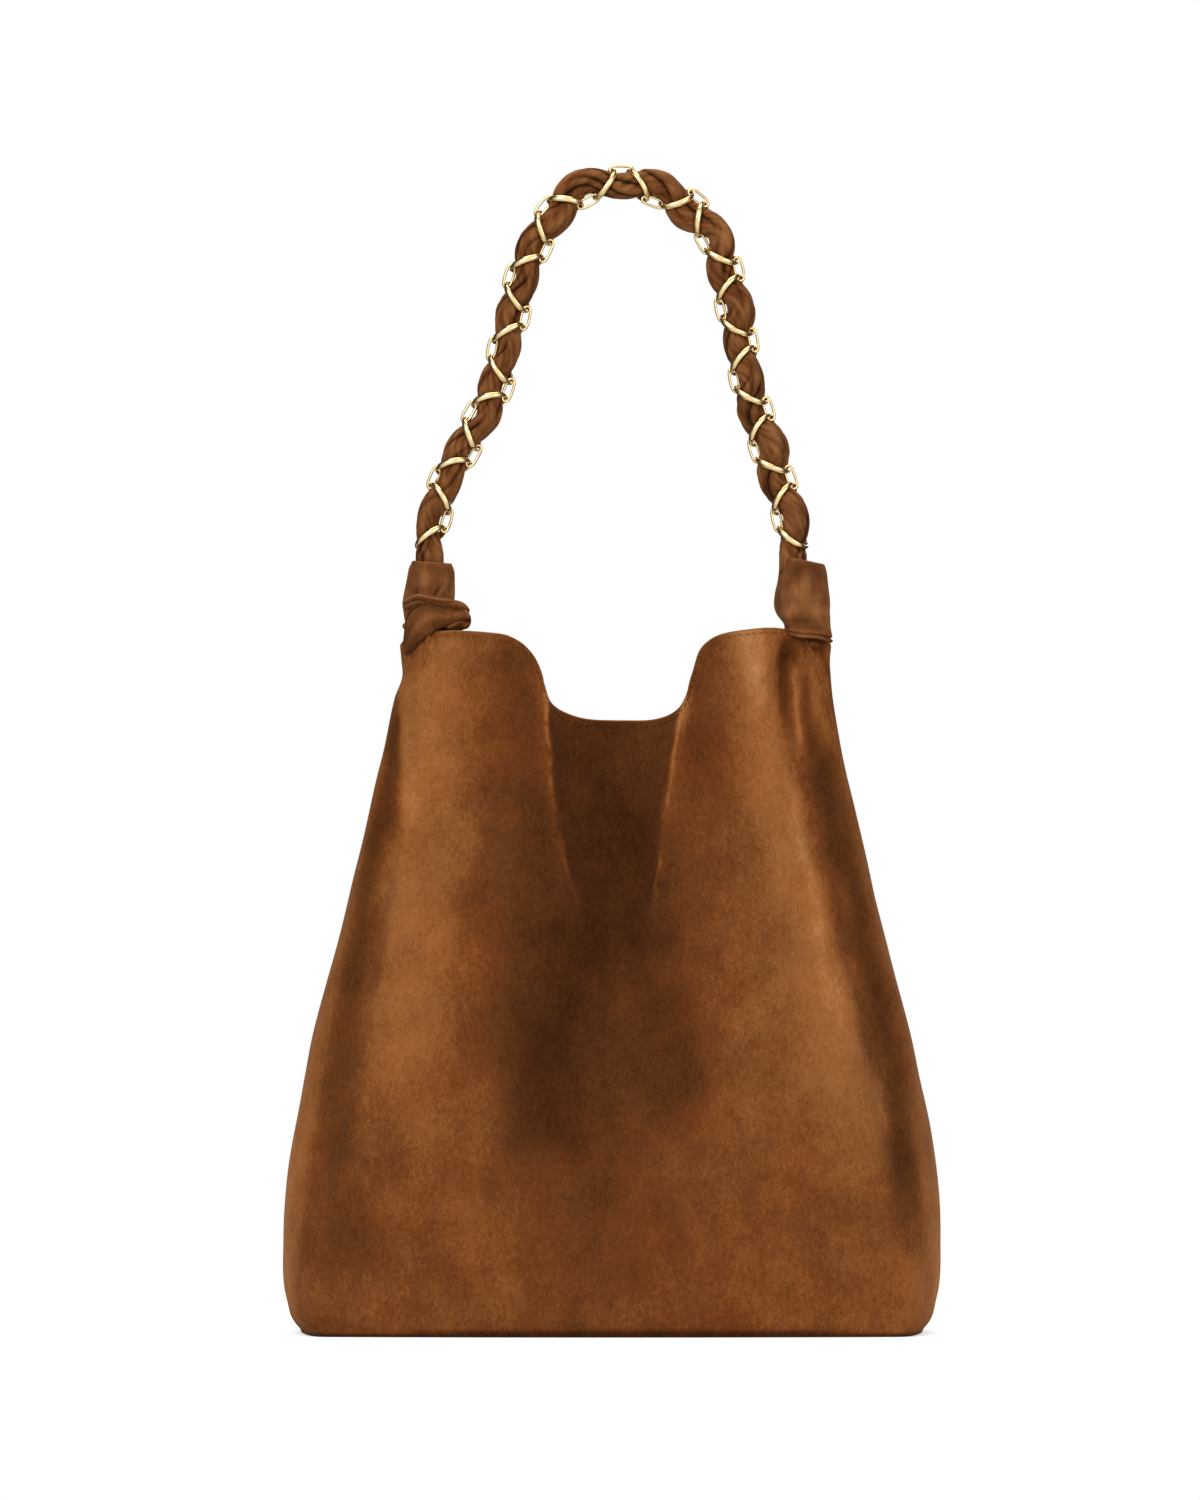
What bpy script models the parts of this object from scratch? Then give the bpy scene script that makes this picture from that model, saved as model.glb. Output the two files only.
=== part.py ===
# A slouching suede hobo bag: a soft body on a flat base, an open mouth with a dipped rim, and a
# strap of suede laced through a gold chain, which swings on a knot at each top corner.
# The front faces -Y, +X is to its right, and the bag stands on Z = 0. All sizes are in metres.
import math

import bmesh
import bpy
from mathutils import Matrix, Vector

# How far each level of the body lies above the one below it
BELLY_RISE = 0.056
HIP_RISE = 0.105
WAIST_RISE = 0.092
CHEST_RISE = 0.082
SHOULDER_RISE = 0.045
RIM_RISE = 0.030

# Full width of the body across its gussets at each level
BASE_WIDTH = 0.356
BELLY_WIDTH = 0.380
HIP_WIDTH = 0.351
WAIST_WIDTH = 0.305
CHEST_WIDTH = 0.269
SHOULDER_WIDTH = 0.247
RIM_WIDTH = 0.224

# Full depth of a gusset, front seam to back seam, at each level
BASE_DEPTH = 0.124
BELLY_DEPTH = 0.132
HIP_DEPTH = 0.104
WAIST_DEPTH = 0.074
CHEST_DEPTH = 0.046
SHOULDER_DEPTH = 0.032
RIM_DEPTH = 0.026

# Soft bulges of the faces and sides, and the pulled-in valley under the dip of the rim
FACE_BULGE = 0.014
GUSSET_EDGE_BULGE = 0.005
GUSSET_BULGE = 0.018
GUSSET_BULGE_POWER = 0.6
DIP_DROP = 0.052
DIP_FLAT_WIDTH = 0.066
DIP_FLANK_WIDTH = 0.030
DIP_FLANK_POWER = 0.6
VALLEY_LENGTH = 0.248
VALLEY_HALF_WIDTH = 0.036
CLASP_HALF_GAP = 0.009

# Sheet thicknesses and the gaps between layers
SUEDE_THICKNESS = 0.0016
BASE_THICKNESS = 0.0020
BOARD_THICKNESS = 0.0020
LINING_THICKNESS = 0.0008
SEAM_GAP = 0.0003
LINING_GAP = 0.0018
LINING_DROP = 0.012
LINING_SIDE_DROP = 0.030

# Corner tabs, and the knots that turn on them
PIVOT_RISE = 0.015
TAB_WIDTH = 0.012
TAB_BLEND_START = 0.022
TAB_BLEND_END = 0.006
TAB_CLEARANCE = 0.0004
KNOT_WIDTH = 0.030
KNOT_RADIUS = 0.016
SLEEVE_WIDTH = 0.027
SLEEVE_DEPTH = 0.022
SLEEVE_RISE = 0.027
SLEEVE_LEAN = 0.005
SLEEVE_EDGE = 0.003

# Strap tube and the chain round it
STRAP_RISE = 0.217
STRAP_FOOT_GAP = 0.0006
STRAP_DIAMETER = 0.0108
STRAP_SNAKE = 0.0033
LINK_COUNT = 24
LINK_LENGTH = 0.020
LINK_WIRE = 0.0030
LINK_CLEARANCE = 0.0008
LINK_END_OFFSET = 0.00766
CHAIN_MARGIN = 0.005
JOINING_WIRE = 0.0018
JOINING_WIDTH = 0.0060
JOINING_CLEARANCE = 0.0004

# Magnetic clasp halves inside the middle of the mouth
SNAP_DIAMETER = 0.016
SNAP_THICKNESS = 0.003
SNAP_DROP = 0.023

# Strap route from the left sleeve to the right one: shares of the half span and of the rise
STRAP_ROUTE = [
    (-1.00, 0.00), (-0.98, 0.10), (-0.86, 0.25), (-0.64, 0.45), (-0.53, 0.68), (-0.40, 0.86),
    (-0.18, 0.98), (0.05, 1.00), (0.32, 0.97), (0.56, 0.86), (0.67, 0.66), (0.76, 0.44),
    (0.88, 0.25), (0.98, 0.10), (1.00, 0.00),
]

# Mesh counts
PANEL_ROWS = 12
PANEL_ROW_POWER = 1.3
LINING_ROWS = 9
GUSSET_COLUMNS = 6
KNOT_SIDES = 12
STRAP_STEPS_PER_LINK = 3
ROUTE_STEPS = 40
LINK_POINTS = 12
JOINING_ARC_POINTS = 5
SNAP_SIDES = 16
SEARCH_STEPS = 36

# Finishes: colour, roughness, metallic
SUEDE = ((0.20, 0.065, 0.017), 0.92, 0.0)
LINING_CLOTH = ((0.13, 0.050, 0.020), 0.85, 0.0)
BOARD = ((0.05, 0.04, 0.03), 0.80, 0.0)
GOLD = ((0.80, 0.56, 0.22), 0.18, 1.0)

# Heights that follow from the sizes above
BELLY_HEIGHT = BELLY_RISE
HIP_HEIGHT = BELLY_HEIGHT + HIP_RISE
WAIST_HEIGHT = HIP_HEIGHT + WAIST_RISE
CHEST_HEIGHT = WAIST_HEIGHT + CHEST_RISE
SHOULDER_HEIGHT = CHEST_HEIGHT + SHOULDER_RISE
RIM_HEIGHT = SHOULDER_HEIGHT + RIM_RISE
DIP_HEIGHT = RIM_HEIGHT - DIP_DROP
LEVELS = (0.0, BELLY_HEIGHT, HIP_HEIGHT, WAIST_HEIGHT, CHEST_HEIGHT, SHOULDER_HEIGHT, RIM_HEIGHT)
WIDTHS = (BASE_WIDTH, BELLY_WIDTH, HIP_WIDTH, WAIST_WIDTH, CHEST_WIDTH, SHOULDER_WIDTH, RIM_WIDTH)
DEPTHS = (BASE_DEPTH, BELLY_DEPTH, HIP_DEPTH, WAIST_DEPTH, CHEST_DEPTH, SHOULDER_DEPTH, RIM_DEPTH)
PANEL_BOTTOM = BASE_THICKNESS + SEAM_GAP
BOARD_BOTTOM = BASE_THICKNESS + SEAM_GAP
LINING_BOTTOM = BOARD_BOTTOM + BOARD_THICKNESS + SEAM_GAP
LINING_INSET = SUEDE_THICKNESS + LINING_GAP
PIVOT_HEIGHT = RIM_HEIGHT + PIVOT_RISE
TAB_CENTRE = RIM_WIDTH / 2 - SUEDE_THICKNESS / 2
STRAP_FOOT = TAB_CENTRE - SLEEVE_LEAN
STRAP_FOOT_HEIGHT = PIVOT_HEIGHT + SLEEVE_RISE + STRAP_FOOT_GAP


def clear_scene():
    for item in list(bpy.data.objects):
        bpy.data.objects.remove(item, do_unlink=True)


def make_material(name, finish):
    colour, roughness, metallic = finish
    material = bpy.data.materials.new(name)
    material.use_nodes = True
    shader = material.node_tree.nodes["Principled BSDF"]
    shader.inputs["Base Color"].default_value = (*colour, 1.0)
    shader.inputs["Roughness"].default_value = roughness
    shader.inputs["Metallic"].default_value = metallic
    material.diffuse_color = (*colour, 1.0)
    return material


def add_object(name, data, material, parent=None, place=(0.0, 0.0, 0.0), turn=None):
    piece = bpy.data.objects.new(name, data)
    bpy.context.collection.objects.link(piece)
    if material.name not in data.materials:
        data.materials.append(material)
    piece.parent = parent
    piece.location = place
    if turn is not None:
        piece.rotation_euler = turn.to_euler()
    return piece


def mesh_from_bmesh(name, work, sharp_degrees=40.0):
    bmesh.ops.recalc_face_normals(work, faces=work.faces)
    mesh = bpy.data.meshes.new(name)
    work.to_mesh(mesh)
    work.free()
    mesh.shade_smooth()
    mesh.set_sharp_from_angle(angle=math.radians(sharp_degrees))
    return mesh


def ease(share):
    share = min(max(share, 0.0), 1.0)
    return share * share * (3.0 - 2.0 * share)


def mix(first, second, share):
    return first + (second - first) * share


# Body sections

def level_slope(values, index):
    before = max(index - 1, 0)
    after = min(index + 1, len(LEVELS) - 1)
    return (values[after] - values[before]) / (LEVELS[after] - LEVELS[before])


def at_height(values, height):
    index = 0
    while index < len(LEVELS) - 2 and height > LEVELS[index + 1]:
        index += 1
    span = LEVELS[index + 1] - LEVELS[index]
    share = (height - LEVELS[index]) / span
    start_slope = level_slope(values, index) * span
    end_slope = level_slope(values, index + 1) * span
    cube = share ** 3
    square = share ** 2
    return (
        values[index] * (2 * cube - 3 * square + 1)
        + start_slope * (cube - 2 * square + share)
        + values[index + 1] * (3 * square - 2 * cube)
        + end_slope * (cube - square)
    )


def gusset_bulge(height):
    share = min(max(height / RIM_HEIGHT, 0.0), 1.0)
    return GUSSET_EDGE_BULGE + GUSSET_BULGE * math.sin(math.pi * share ** GUSSET_BULGE_POWER)


def seam_half_width(height):
    return at_height(WIDTHS, height) / 2 - gusset_bulge(height)


def seam_half_depth(height):
    return at_height(DEPTHS, height) / 2


def rim_at(across):
    distance = abs(across) * seam_half_width(RIM_HEIGHT)
    climb = ease((distance - DIP_FLAT_WIDTH / 2) / DIP_FLANK_WIDTH)
    return DIP_HEIGHT + DIP_DROP * climb ** DIP_FLANK_POWER


def face_depth(across, height):
    fullness = FACE_BULGE * ease(height / BELLY_HEIGHT)
    middle = seam_half_depth(height) + fullness
    pull = ease((height - DIP_HEIGHT + VALLEY_LENGTH) / VALLEY_LENGTH)
    distance = across * seam_half_width(height)
    valley = (middle - CLASP_HALF_GAP) * pull * math.exp(-(distance / VALLEY_HALF_WIDTH) ** 2)
    return middle - fullness * across ** 2 - valley


def move_inward(point_at, position, inset):
    step = 0.001
    before = point_at(position - step)
    after = point_at(position + step)
    run = after - before
    inward = Vector((-run.y, run.x, 0.0)).normalized()
    return point_at(position) + inward * inset


def front_point(across, height, inset):
    def outer(share):
        return Vector((share * seam_half_width(height), -face_depth(share, height), height))
    return move_inward(outer, across, inset)


def gusset_point(across, height, inset):
    half_depth = seam_half_depth(height) - SUEDE_THICKNESS - SEAM_GAP

    def outer(share):
        reach = seam_half_width(height) + gusset_bulge(height) * (1.0 - share ** 2)
        return Vector((reach, share * half_depth, height))
    return move_inward(outer, across, inset)


def tab_point(across, height, inset):
    blend_start = RIM_HEIGHT - TAB_BLEND_START
    share = ease((height - blend_start) / (TAB_BLEND_START - TAB_BLEND_END))
    side = gusset_point(across, min(height, RIM_HEIGHT), inset)
    over = max(height - PIVOT_HEIGHT, 0.0)
    half_width = math.sqrt((TAB_WIDTH / 2) ** 2 - over ** 2)
    flat = Vector((RIM_WIDTH / 2 - inset, across * half_width, height))
    side.z = height
    return side.lerp(flat, share)


def spread(start, end, count):
    return [mix(start, end, step / count) for step in range(count + 1)]


def panel_columns():
    rim_half = seam_half_width(RIM_HEIGHT)
    dip_edge = DIP_FLAT_WIDTH / 2 / rim_half
    flank_edge = dip_edge + DIP_FLANK_WIDTH / rim_half
    right = spread(0.0, dip_edge, 3)[:-1] + spread(dip_edge, flank_edge, 7)[:-1] + spread(flank_edge, 1.0, 5)
    left = [-share for share in reversed(right[1:])]
    return left + right


def panel_shares():
    return [(row / PANEL_ROWS) ** PANEL_ROW_POWER for row in range(PANEL_ROWS + 1)]


# Body pieces

def add_strip(work, first, second):
    for index in range(len(first) - 1):
        work.faces.new((first[index], first[index + 1], second[index + 1], second[index]))


def sheet_solid(name, outer, inner):
    work = bmesh.new()
    outer_rows = [[work.verts.new(point) for point in row] for row in outer]
    inner_rows = [[work.verts.new(point) for point in row] for row in inner]
    for rows in (outer_rows, inner_rows):
        for lower, upper in zip(rows, rows[1:]):
            add_strip(work, lower, upper)
    for edge in (0, -1):
        add_strip(work, outer_rows[edge], inner_rows[edge])
        add_strip(work, [row[edge] for row in outer_rows], [row[edge] for row in inner_rows])
    return mesh_from_bmesh(name, work)


def mirrored(rows, turn):
    return [[turn @ point for point in row] for row in rows]


def panel_rows(inset):
    rows = []
    for share in panel_shares():
        row = []
        for across in panel_columns():
            height = mix(PANEL_BOTTOM, rim_at(across), share)
            row.append(front_point(across, height, inset))
        rows.append(row)
    return rows


def gusset_heights():
    panel_heights = [mix(PANEL_BOTTOM, RIM_HEIGHT, share) for share in panel_shares()]
    blend_start = RIM_HEIGHT - TAB_BLEND_START
    blend_end = RIM_HEIGHT - TAB_BLEND_END
    lower = [height for height in panel_heights if height < blend_start - SUEDE_THICKNESS]
    rounded = [PIVOT_HEIGHT + TAB_WIDTH / 2 * math.sin(math.radians(turn)) for turn in (0, 30, 55, 75)]
    return lower + spread(blend_start, blend_end, 3) + rounded


def gusset_rows(inset):
    shares = spread(-1.0, 1.0, GUSSET_COLUMNS)
    return [[tab_point(share, height, inset) for share in shares] for height in gusset_heights()]


def build_body(flip_x, flip_y):
    face_outer = panel_rows(0.0)
    face_inner = panel_rows(SUEDE_THICKNESS)
    for name, turn in (("front_panel", Matrix.Identity(3)), ("back_panel", flip_y)):
        mesh = sheet_solid(name, mirrored(face_outer, turn), mirrored(face_inner, turn))
        add_object(name, mesh, make_material(name + "_suede", SUEDE))
    side_outer = gusset_rows(0.0)
    side_inner = gusset_rows(SUEDE_THICKNESS)
    for name, turn in (("right_gusset", Matrix.Identity(3)), ("left_gusset", flip_x)):
        mesh = sheet_solid(name, mirrored(side_outer, turn), mirrored(side_inner, turn))
        add_object(name, mesh, make_material(name + "_suede", SUEDE))


def section_loop(inset, faces, face_height, side_height, flip_x, flip_y):
    sides = spread(-1.0, 1.0, GUSSET_COLUMNS)[1:-1]
    front = [front_point(across, face_height(across), inset) for across in faces]
    right = [gusset_point(across, side_height, inset) for across in sides]
    back = [flip_y @ point for point in reversed(front)]
    left = [flip_x @ point for point in reversed(right)]
    return front + right + back + left


def level_loop(height, inset, faces, flip_x, flip_y):
    return section_loop(inset, faces, lambda across: height, height, flip_x, flip_y)


def loft_solid(name, loops):
    work = bmesh.new()
    rings = [[work.verts.new(point) for point in loop] for loop in loops]
    for lower, upper in zip(rings, rings[1:]):
        add_strip(work, lower + lower[:1], upper + upper[:1])
    work.faces.new(rings[0])
    work.faces.new(rings[-1])
    return mesh_from_bmesh(name, work)


def plate_solid(name, outline, bottom, thickness):
    loops = []
    for height in (bottom, bottom + thickness):
        loops.append([Vector((point.x, point.y, height)) for point in outline])
    return loft_solid(name, loops)


def lining_loop(share, inset, bottom, flip_x, flip_y):
    def face_height(across):
        return mix(bottom, rim_at(across) - LINING_DROP, share)
    side_height = mix(bottom, RIM_HEIGHT - LINING_SIDE_DROP, share)
    return section_loop(inset, panel_columns()[1:-1], face_height, side_height, flip_x, flip_y)


def build_base_and_lining(flip_x, flip_y):
    base_outline = level_loop(0.0, 0.0, panel_columns(), flip_x, flip_y)
    base = plate_solid("base_panel", base_outline, 0.0, BASE_THICKNESS)
    add_object("base_panel", base, make_material("base_suede", SUEDE))
    board_outline = level_loop(BOARD_BOTTOM, LINING_INSET, panel_columns()[1:-1], flip_x, flip_y)
    board = plate_solid("base_board", board_outline, BOARD_BOTTOM, BOARD_THICKNESS)
    add_object("base_board", board, make_material("base_board_fibre", BOARD))
    shares = [(row / LINING_ROWS) ** PANEL_ROW_POWER for row in range(LINING_ROWS + 1)]
    outer = [lining_loop(share, LINING_INSET, LINING_BOTTOM, flip_x, flip_y) for share in shares]
    inner_inset = LINING_INSET + LINING_THICKNESS
    inner_bottom = LINING_BOTTOM + LINING_THICKNESS
    inner = [lining_loop(share, inner_inset, inner_bottom, flip_x, flip_y) for share in shares]
    lining = loft_solid("lining", outer + inner[::-1])
    add_object("lining", lining, make_material("lining_cloth", LINING_CLOTH))


def build_snaps(flip_y):
    middle = DIP_HEIGHT - SNAP_DROP
    inset = LINING_INSET + LINING_THICKNESS
    edges = (middle - SNAP_DIAMETER / 2, middle, middle + SNAP_DIAMETER / 2)
    seat = max(front_point(0.0, height, inset).y for height in edges) + SEAM_GAP
    place = Vector((0.0, seat + SNAP_THICKNESS / 2, middle))
    upright = Matrix.Rotation(math.pi / 2, 3, "X")
    material = make_material("snap_gold", GOLD)
    for name, spot in (("magnet_snap_front", place), ("magnet_snap_back", flip_y @ place)):
        work = bmesh.new()
        radius = SNAP_DIAMETER / 2
        bmesh.ops.create_cone(
            work, cap_ends=True, segments=SNAP_SIDES, radius1=radius, radius2=radius, depth=SNAP_THICKNESS,
        )
        add_object(name, mesh_from_bmesh(name, work), material, None, spot, upright)


# Strap pieces, carried by an empty on the swing axis

def oval(half_width, half_depth, shift, height):
    points = []
    for side in range(KNOT_SIDES):
        angle = 2 * math.pi * side / KNOT_SIDES
        points.append(Vector((shift + half_width * math.cos(angle), half_depth * math.sin(angle), height)))
    return points


def knot_loops():
    loops = []
    for turn in (25, 50, 75, 100):
        angle = math.radians(turn)
        half_width = KNOT_WIDTH / 2 * math.sin(angle)
        loops.append(oval(half_width, KNOT_RADIUS * math.sin(angle), 0.0, -KNOT_RADIUS * math.cos(angle)))
    half_width = SLEEVE_WIDTH / 2
    half_depth = SLEEVE_DEPTH / 2
    waist = (KNOT_RADIUS + SLEEVE_RISE) / 4
    for height, share in ((waist, 1.0), (SLEEVE_RISE - SLEEVE_EDGE, 1.0), (SLEEVE_RISE, 0.88)):
        shift = -SLEEVE_LEAN * height / SLEEVE_RISE
        loops.append(oval(half_width * share, half_depth * share, shift, height))
    return loops


def cut_slot(piece):
    reach = 4 * KNOT_RADIUS
    ceiling = TAB_WIDTH / 2 + TAB_CLEARANCE
    work = bmesh.new()
    bmesh.ops.create_cube(work, size=1.0)
    size = Vector((SUEDE_THICKNESS + 2 * TAB_CLEARANCE, reach, reach))
    bmesh.ops.scale(work, vec=size, verts=work.verts)
    bmesh.ops.translate(work, vec=(0.0, 0.0, ceiling - reach / 2), verts=work.verts)
    cutter = bpy.data.objects.new("slot_cutter", mesh_from_bmesh("slot_cutter", work))
    bpy.context.collection.objects.link(cutter)
    cutter.matrix_world = piece.matrix_world
    slot = piece.modifiers.new("tab_slot", "BOOLEAN")
    slot.operation = "DIFFERENCE"
    slot.solver = "EXACT"
    slot.object = cutter
    bpy.context.view_layer.update()
    evaluated = piece.evaluated_get(bpy.context.evaluated_depsgraph_get())
    slotted = bpy.data.meshes.new_from_object(evaluated)
    piece.modifiers.remove(slot)
    piece.data = slotted
    bpy.data.objects.remove(cutter, do_unlink=True)


def build_knots(pivot, flip_x):
    for name, side, turn in (("right_knot", 1, Matrix.Identity(3)), ("left_knot", -1, flip_x)):
        mesh = loft_solid(name, mirrored(knot_loops(), turn))
        material = make_material(name + "_suede", SUEDE)
        piece = add_object(name, mesh, material, pivot, (side * TAB_CENTRE, 0.0, 0.0))
        bpy.context.view_layer.update()
        cut_slot(piece)


def route_samples():
    points = [Vector((x * STRAP_FOOT, 0.0, STRAP_FOOT_HEIGHT + z * STRAP_RISE)) for x, z in STRAP_ROUTE]
    samples = []
    for index in range(len(points) - 1):
        before = points[max(index - 1, 0)]
        start = points[index]
        end = points[index + 1]
        after = points[min(index + 2, len(points) - 1)]
        for step in range(ROUTE_STEPS):
            t = step / ROUTE_STEPS
            samples.append(0.5 * (
                2 * start + (end - before) * t + (2 * before - 5 * start + 4 * end - after) * t ** 2
                + (3 * start - before - 3 * end + after) * t ** 3
            ))
    samples.append(points[-1])
    return samples


class Strap:
    def __init__(self):
        self.samples = route_samples()
        self.lengths = [0.0]
        for before, after in zip(self.samples, self.samples[1:]):
            self.lengths.append(self.lengths[-1] + (after - before).length)
        self.length = self.lengths[-1]

    def locate(self, along):
        low = 0
        high = len(self.lengths) - 1
        while high - low > 1:
            middle = (low + high) // 2
            if self.lengths[middle] <= along:
                low = middle
            else:
                high = middle
        run = self.samples[high] - self.samples[low]
        share = (along - self.lengths[low]) / run.length
        return self.samples[low] + run * share, run.normalized()

    def beside(self, along, offset):
        point, direction = self.locate(along)
        return point + Vector((direction.z, 0.0, -direction.x)) * offset

    def reach_from(self, origin, start, offset, distance):
        low = start
        high = start + 3 * LINK_LENGTH
        for _ in range(SEARCH_STEPS):
            middle = (low + high) / 2
            if (self.beside(middle, offset) - origin).length < distance:
                low = middle
            else:
                high = middle
        return low


def lay_links(strap, gap):
    side = -1
    along = CHAIN_MARGIN
    ends = []
    joins = []
    for _ in range(LINK_COUNT):
        first = strap.beside(along, side * LINK_END_OFFSET)
        side = -side
        along = strap.reach_from(first, along, side * LINK_END_OFFSET, LINK_LENGTH)
        second = strap.beside(along, side * LINK_END_OFFSET)
        ends.append((first, second))
        leave = along
        along = strap.reach_from(second, along, side * LINK_END_OFFSET, gap)
        joins.append(((leave + along) / 2, side))
    return ends, joins[:-1], leave


def fit_chain(strap):
    low = LINK_WIRE
    high = LINK_LENGTH
    for _ in range(SEARCH_STEPS):
        gap = (low + high) / 2
        last = lay_links(strap, gap)[2]
        if last < strap.length - CHAIN_MARGIN:
            low = gap
        else:
            high = gap
    ends, joins, _ = lay_links(strap, low)
    return ends, joins, low


def snake_offset(along, joins, length):
    stops = [(0.0, 0.0)]
    stops += [(spot, -side * STRAP_SNAKE) for spot, side in joins]
    stops.append((length, 0.0))
    index = 0
    while index < len(stops) - 2 and along > stops[index + 1][0]:
        index += 1
    start, first = stops[index]
    end, second = stops[index + 1]
    swing = (1.0 - math.cos(math.pi * (along - start) / (end - start))) / 2
    return mix(first, second, swing)


def closed_wire(name, points, diameter):
    curve = bpy.data.curves.new(name, "CURVE")
    curve.dimensions = "3D"
    curve.bevel_depth = diameter / 2
    curve.bevel_resolution = 1
    spline = curve.splines.new("POLY")
    spline.points.add(len(points) - 1)
    for spot, point in zip(spline.points, points):
        spot.co = (*point, 1.0)
    spline.use_cyclic_u = True
    return curve


def link_outline():
    half_depth = STRAP_DIAMETER / 2 + LINK_CLEARANCE + LINK_WIRE / 2
    points = []
    for step in range(LINK_POINTS):
        angle = 2 * math.pi * step / LINK_POINTS
        points.append(Vector((LINK_LENGTH / 2 * math.cos(angle), half_depth * math.sin(angle), 0.0)))
    return points


def joining_outline(gap):
    radius = JOINING_WIDTH / 2
    half_length = gap / 2 + LINK_WIRE / 2 + JOINING_WIRE / 2 + JOINING_CLEARANCE
    points = []
    for side in (1, -1):
        for step in range(JOINING_ARC_POINTS):
            angle = math.pi * (step / (JOINING_ARC_POINTS - 1) - 0.5)
            across = side * radius * math.sin(angle)
            points.append(Vector((side * (half_length - radius + radius * math.cos(angle)), across, 0.0)))
    return points


def turn_along(run, across):
    first = run.normalized()
    second = across.normalized()
    return Matrix((first, second, first.cross(second))).transposed()


def build_chain(pivot, ends, gap):
    gold = make_material("chain_gold", GOLD)
    link = closed_wire("chain_link", link_outline(), LINK_WIRE)
    depth_axis = Vector((0.0, 1.0, 0.0))
    for number, (first, second) in enumerate(ends, 1):
        place = (first + second) / 2 - pivot.location
        turn = turn_along(second - first, depth_axis)
        add_object(f"chain_link_{number:02d}", link, gold, pivot, place, turn)
    joining = closed_wire("joining_link", joining_outline(gap), JOINING_WIRE)
    for number, (before, after) in enumerate(zip(ends, ends[1:]), 1):
        run = after[0] - before[1]
        place = (after[0] + before[1]) / 2 - pivot.location
        turn = turn_along(run, depth_axis.cross(run))
        add_object(f"joining_link_{number:02d}", joining, gold, pivot, place, turn)


def build_strap(pivot, strap, joins):
    steps = LINK_COUNT * STRAP_STEPS_PER_LINK
    curve = bpy.data.curves.new("strap_suede", "CURVE")
    curve.dimensions = "3D"
    curve.bevel_depth = STRAP_DIAMETER / 2
    curve.bevel_resolution = 2
    curve.use_fill_caps = True
    spline = curve.splines.new("POLY")
    spline.points.add(steps)
    for step, spot in enumerate(spline.points):
        along = strap.length * step / steps
        point = strap.beside(along, snake_offset(along, joins, strap.length)) - pivot.location
        spot.co = (*point, 1.0)
    add_object("strap_suede", curve, make_material("strap_suede", SUEDE), pivot)


def main():
    clear_scene()
    flip_x = Matrix.Diagonal((-1.0, 1.0, 1.0))
    flip_y = Matrix.Diagonal((1.0, -1.0, 1.0))
    build_body(flip_x, flip_y)
    build_base_and_lining(flip_x, flip_y)
    build_snaps(flip_y)
    pivot = bpy.data.objects.new("strap_pivot", None)
    bpy.context.collection.objects.link(pivot)
    pivot.location = (0.0, 0.0, PIVOT_HEIGHT)
    build_knots(pivot, flip_x)
    strap = Strap()
    ends, joins, gap = fit_chain(strap)
    build_strap(pivot, strap, joins)
    build_chain(pivot, ends, gap)
    print(f"strap length {strap.length:.4f} m, gap between link ends {gap * 1000:.2f} mm")


main()
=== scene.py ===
# Suede hobo bag with a chain-laced strap: looks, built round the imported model
import math
import random

import bmesh
import bpy
import numpy as np
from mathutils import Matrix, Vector, noise


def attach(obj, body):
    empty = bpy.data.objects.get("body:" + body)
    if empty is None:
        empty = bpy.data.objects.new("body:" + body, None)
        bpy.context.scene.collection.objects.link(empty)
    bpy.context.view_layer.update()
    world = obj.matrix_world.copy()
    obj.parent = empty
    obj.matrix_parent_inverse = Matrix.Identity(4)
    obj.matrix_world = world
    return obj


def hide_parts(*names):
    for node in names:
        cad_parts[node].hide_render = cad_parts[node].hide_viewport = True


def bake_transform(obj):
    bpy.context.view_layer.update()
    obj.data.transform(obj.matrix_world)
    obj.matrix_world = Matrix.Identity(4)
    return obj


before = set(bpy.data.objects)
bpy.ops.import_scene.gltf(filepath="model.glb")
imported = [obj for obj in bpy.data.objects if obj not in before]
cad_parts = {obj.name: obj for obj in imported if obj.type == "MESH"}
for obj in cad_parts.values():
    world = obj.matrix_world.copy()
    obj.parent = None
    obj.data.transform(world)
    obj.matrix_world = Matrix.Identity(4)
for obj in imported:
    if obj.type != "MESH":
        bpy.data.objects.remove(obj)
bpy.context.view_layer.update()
scene = bpy.context.scene
scene.view_settings.view_transform = "Standard"
random.seed(7)
print("frame loaded:", len(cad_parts), "nodes")

# Camera: level, far back on a long lens, square to the front of the bag
shot = {
    "distance": 7.0,
    "height": 0.3393,
    "across": -0.0069,
    "pixelsPerMetre": 1715.0,   # at the plane of the strap
    "imageHeight": 1500.0,
    "sensor": 36.0,
}


def makeCamera():
    data = bpy.data.cameras.new("photoCamera")
    data.sensor_width = shot["sensor"]
    span = shot["imageHeight"] / shot["pixelsPerMetre"]
    data.lens = shot["sensor"] * shot["distance"] / span
    data.clip_end = 50.0
    cam = bpy.data.objects.new("photoCamera", data)
    scene.collection.objects.link(cam)
    cam.location = (shot["across"], -shot["distance"], shot["height"])
    cam.rotation_euler = (math.pi / 2, 0.0, 0.0)
    scene.camera = cam


makeCamera()


# Small helpers

def ease(share):
    share = np.clip(share, 0.0, 1.0)
    return share * share * (3.0 - 2.0 * share)


def bell(distance, width):
    return np.exp(-(np.asarray(distance) / width) ** 2)


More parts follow.
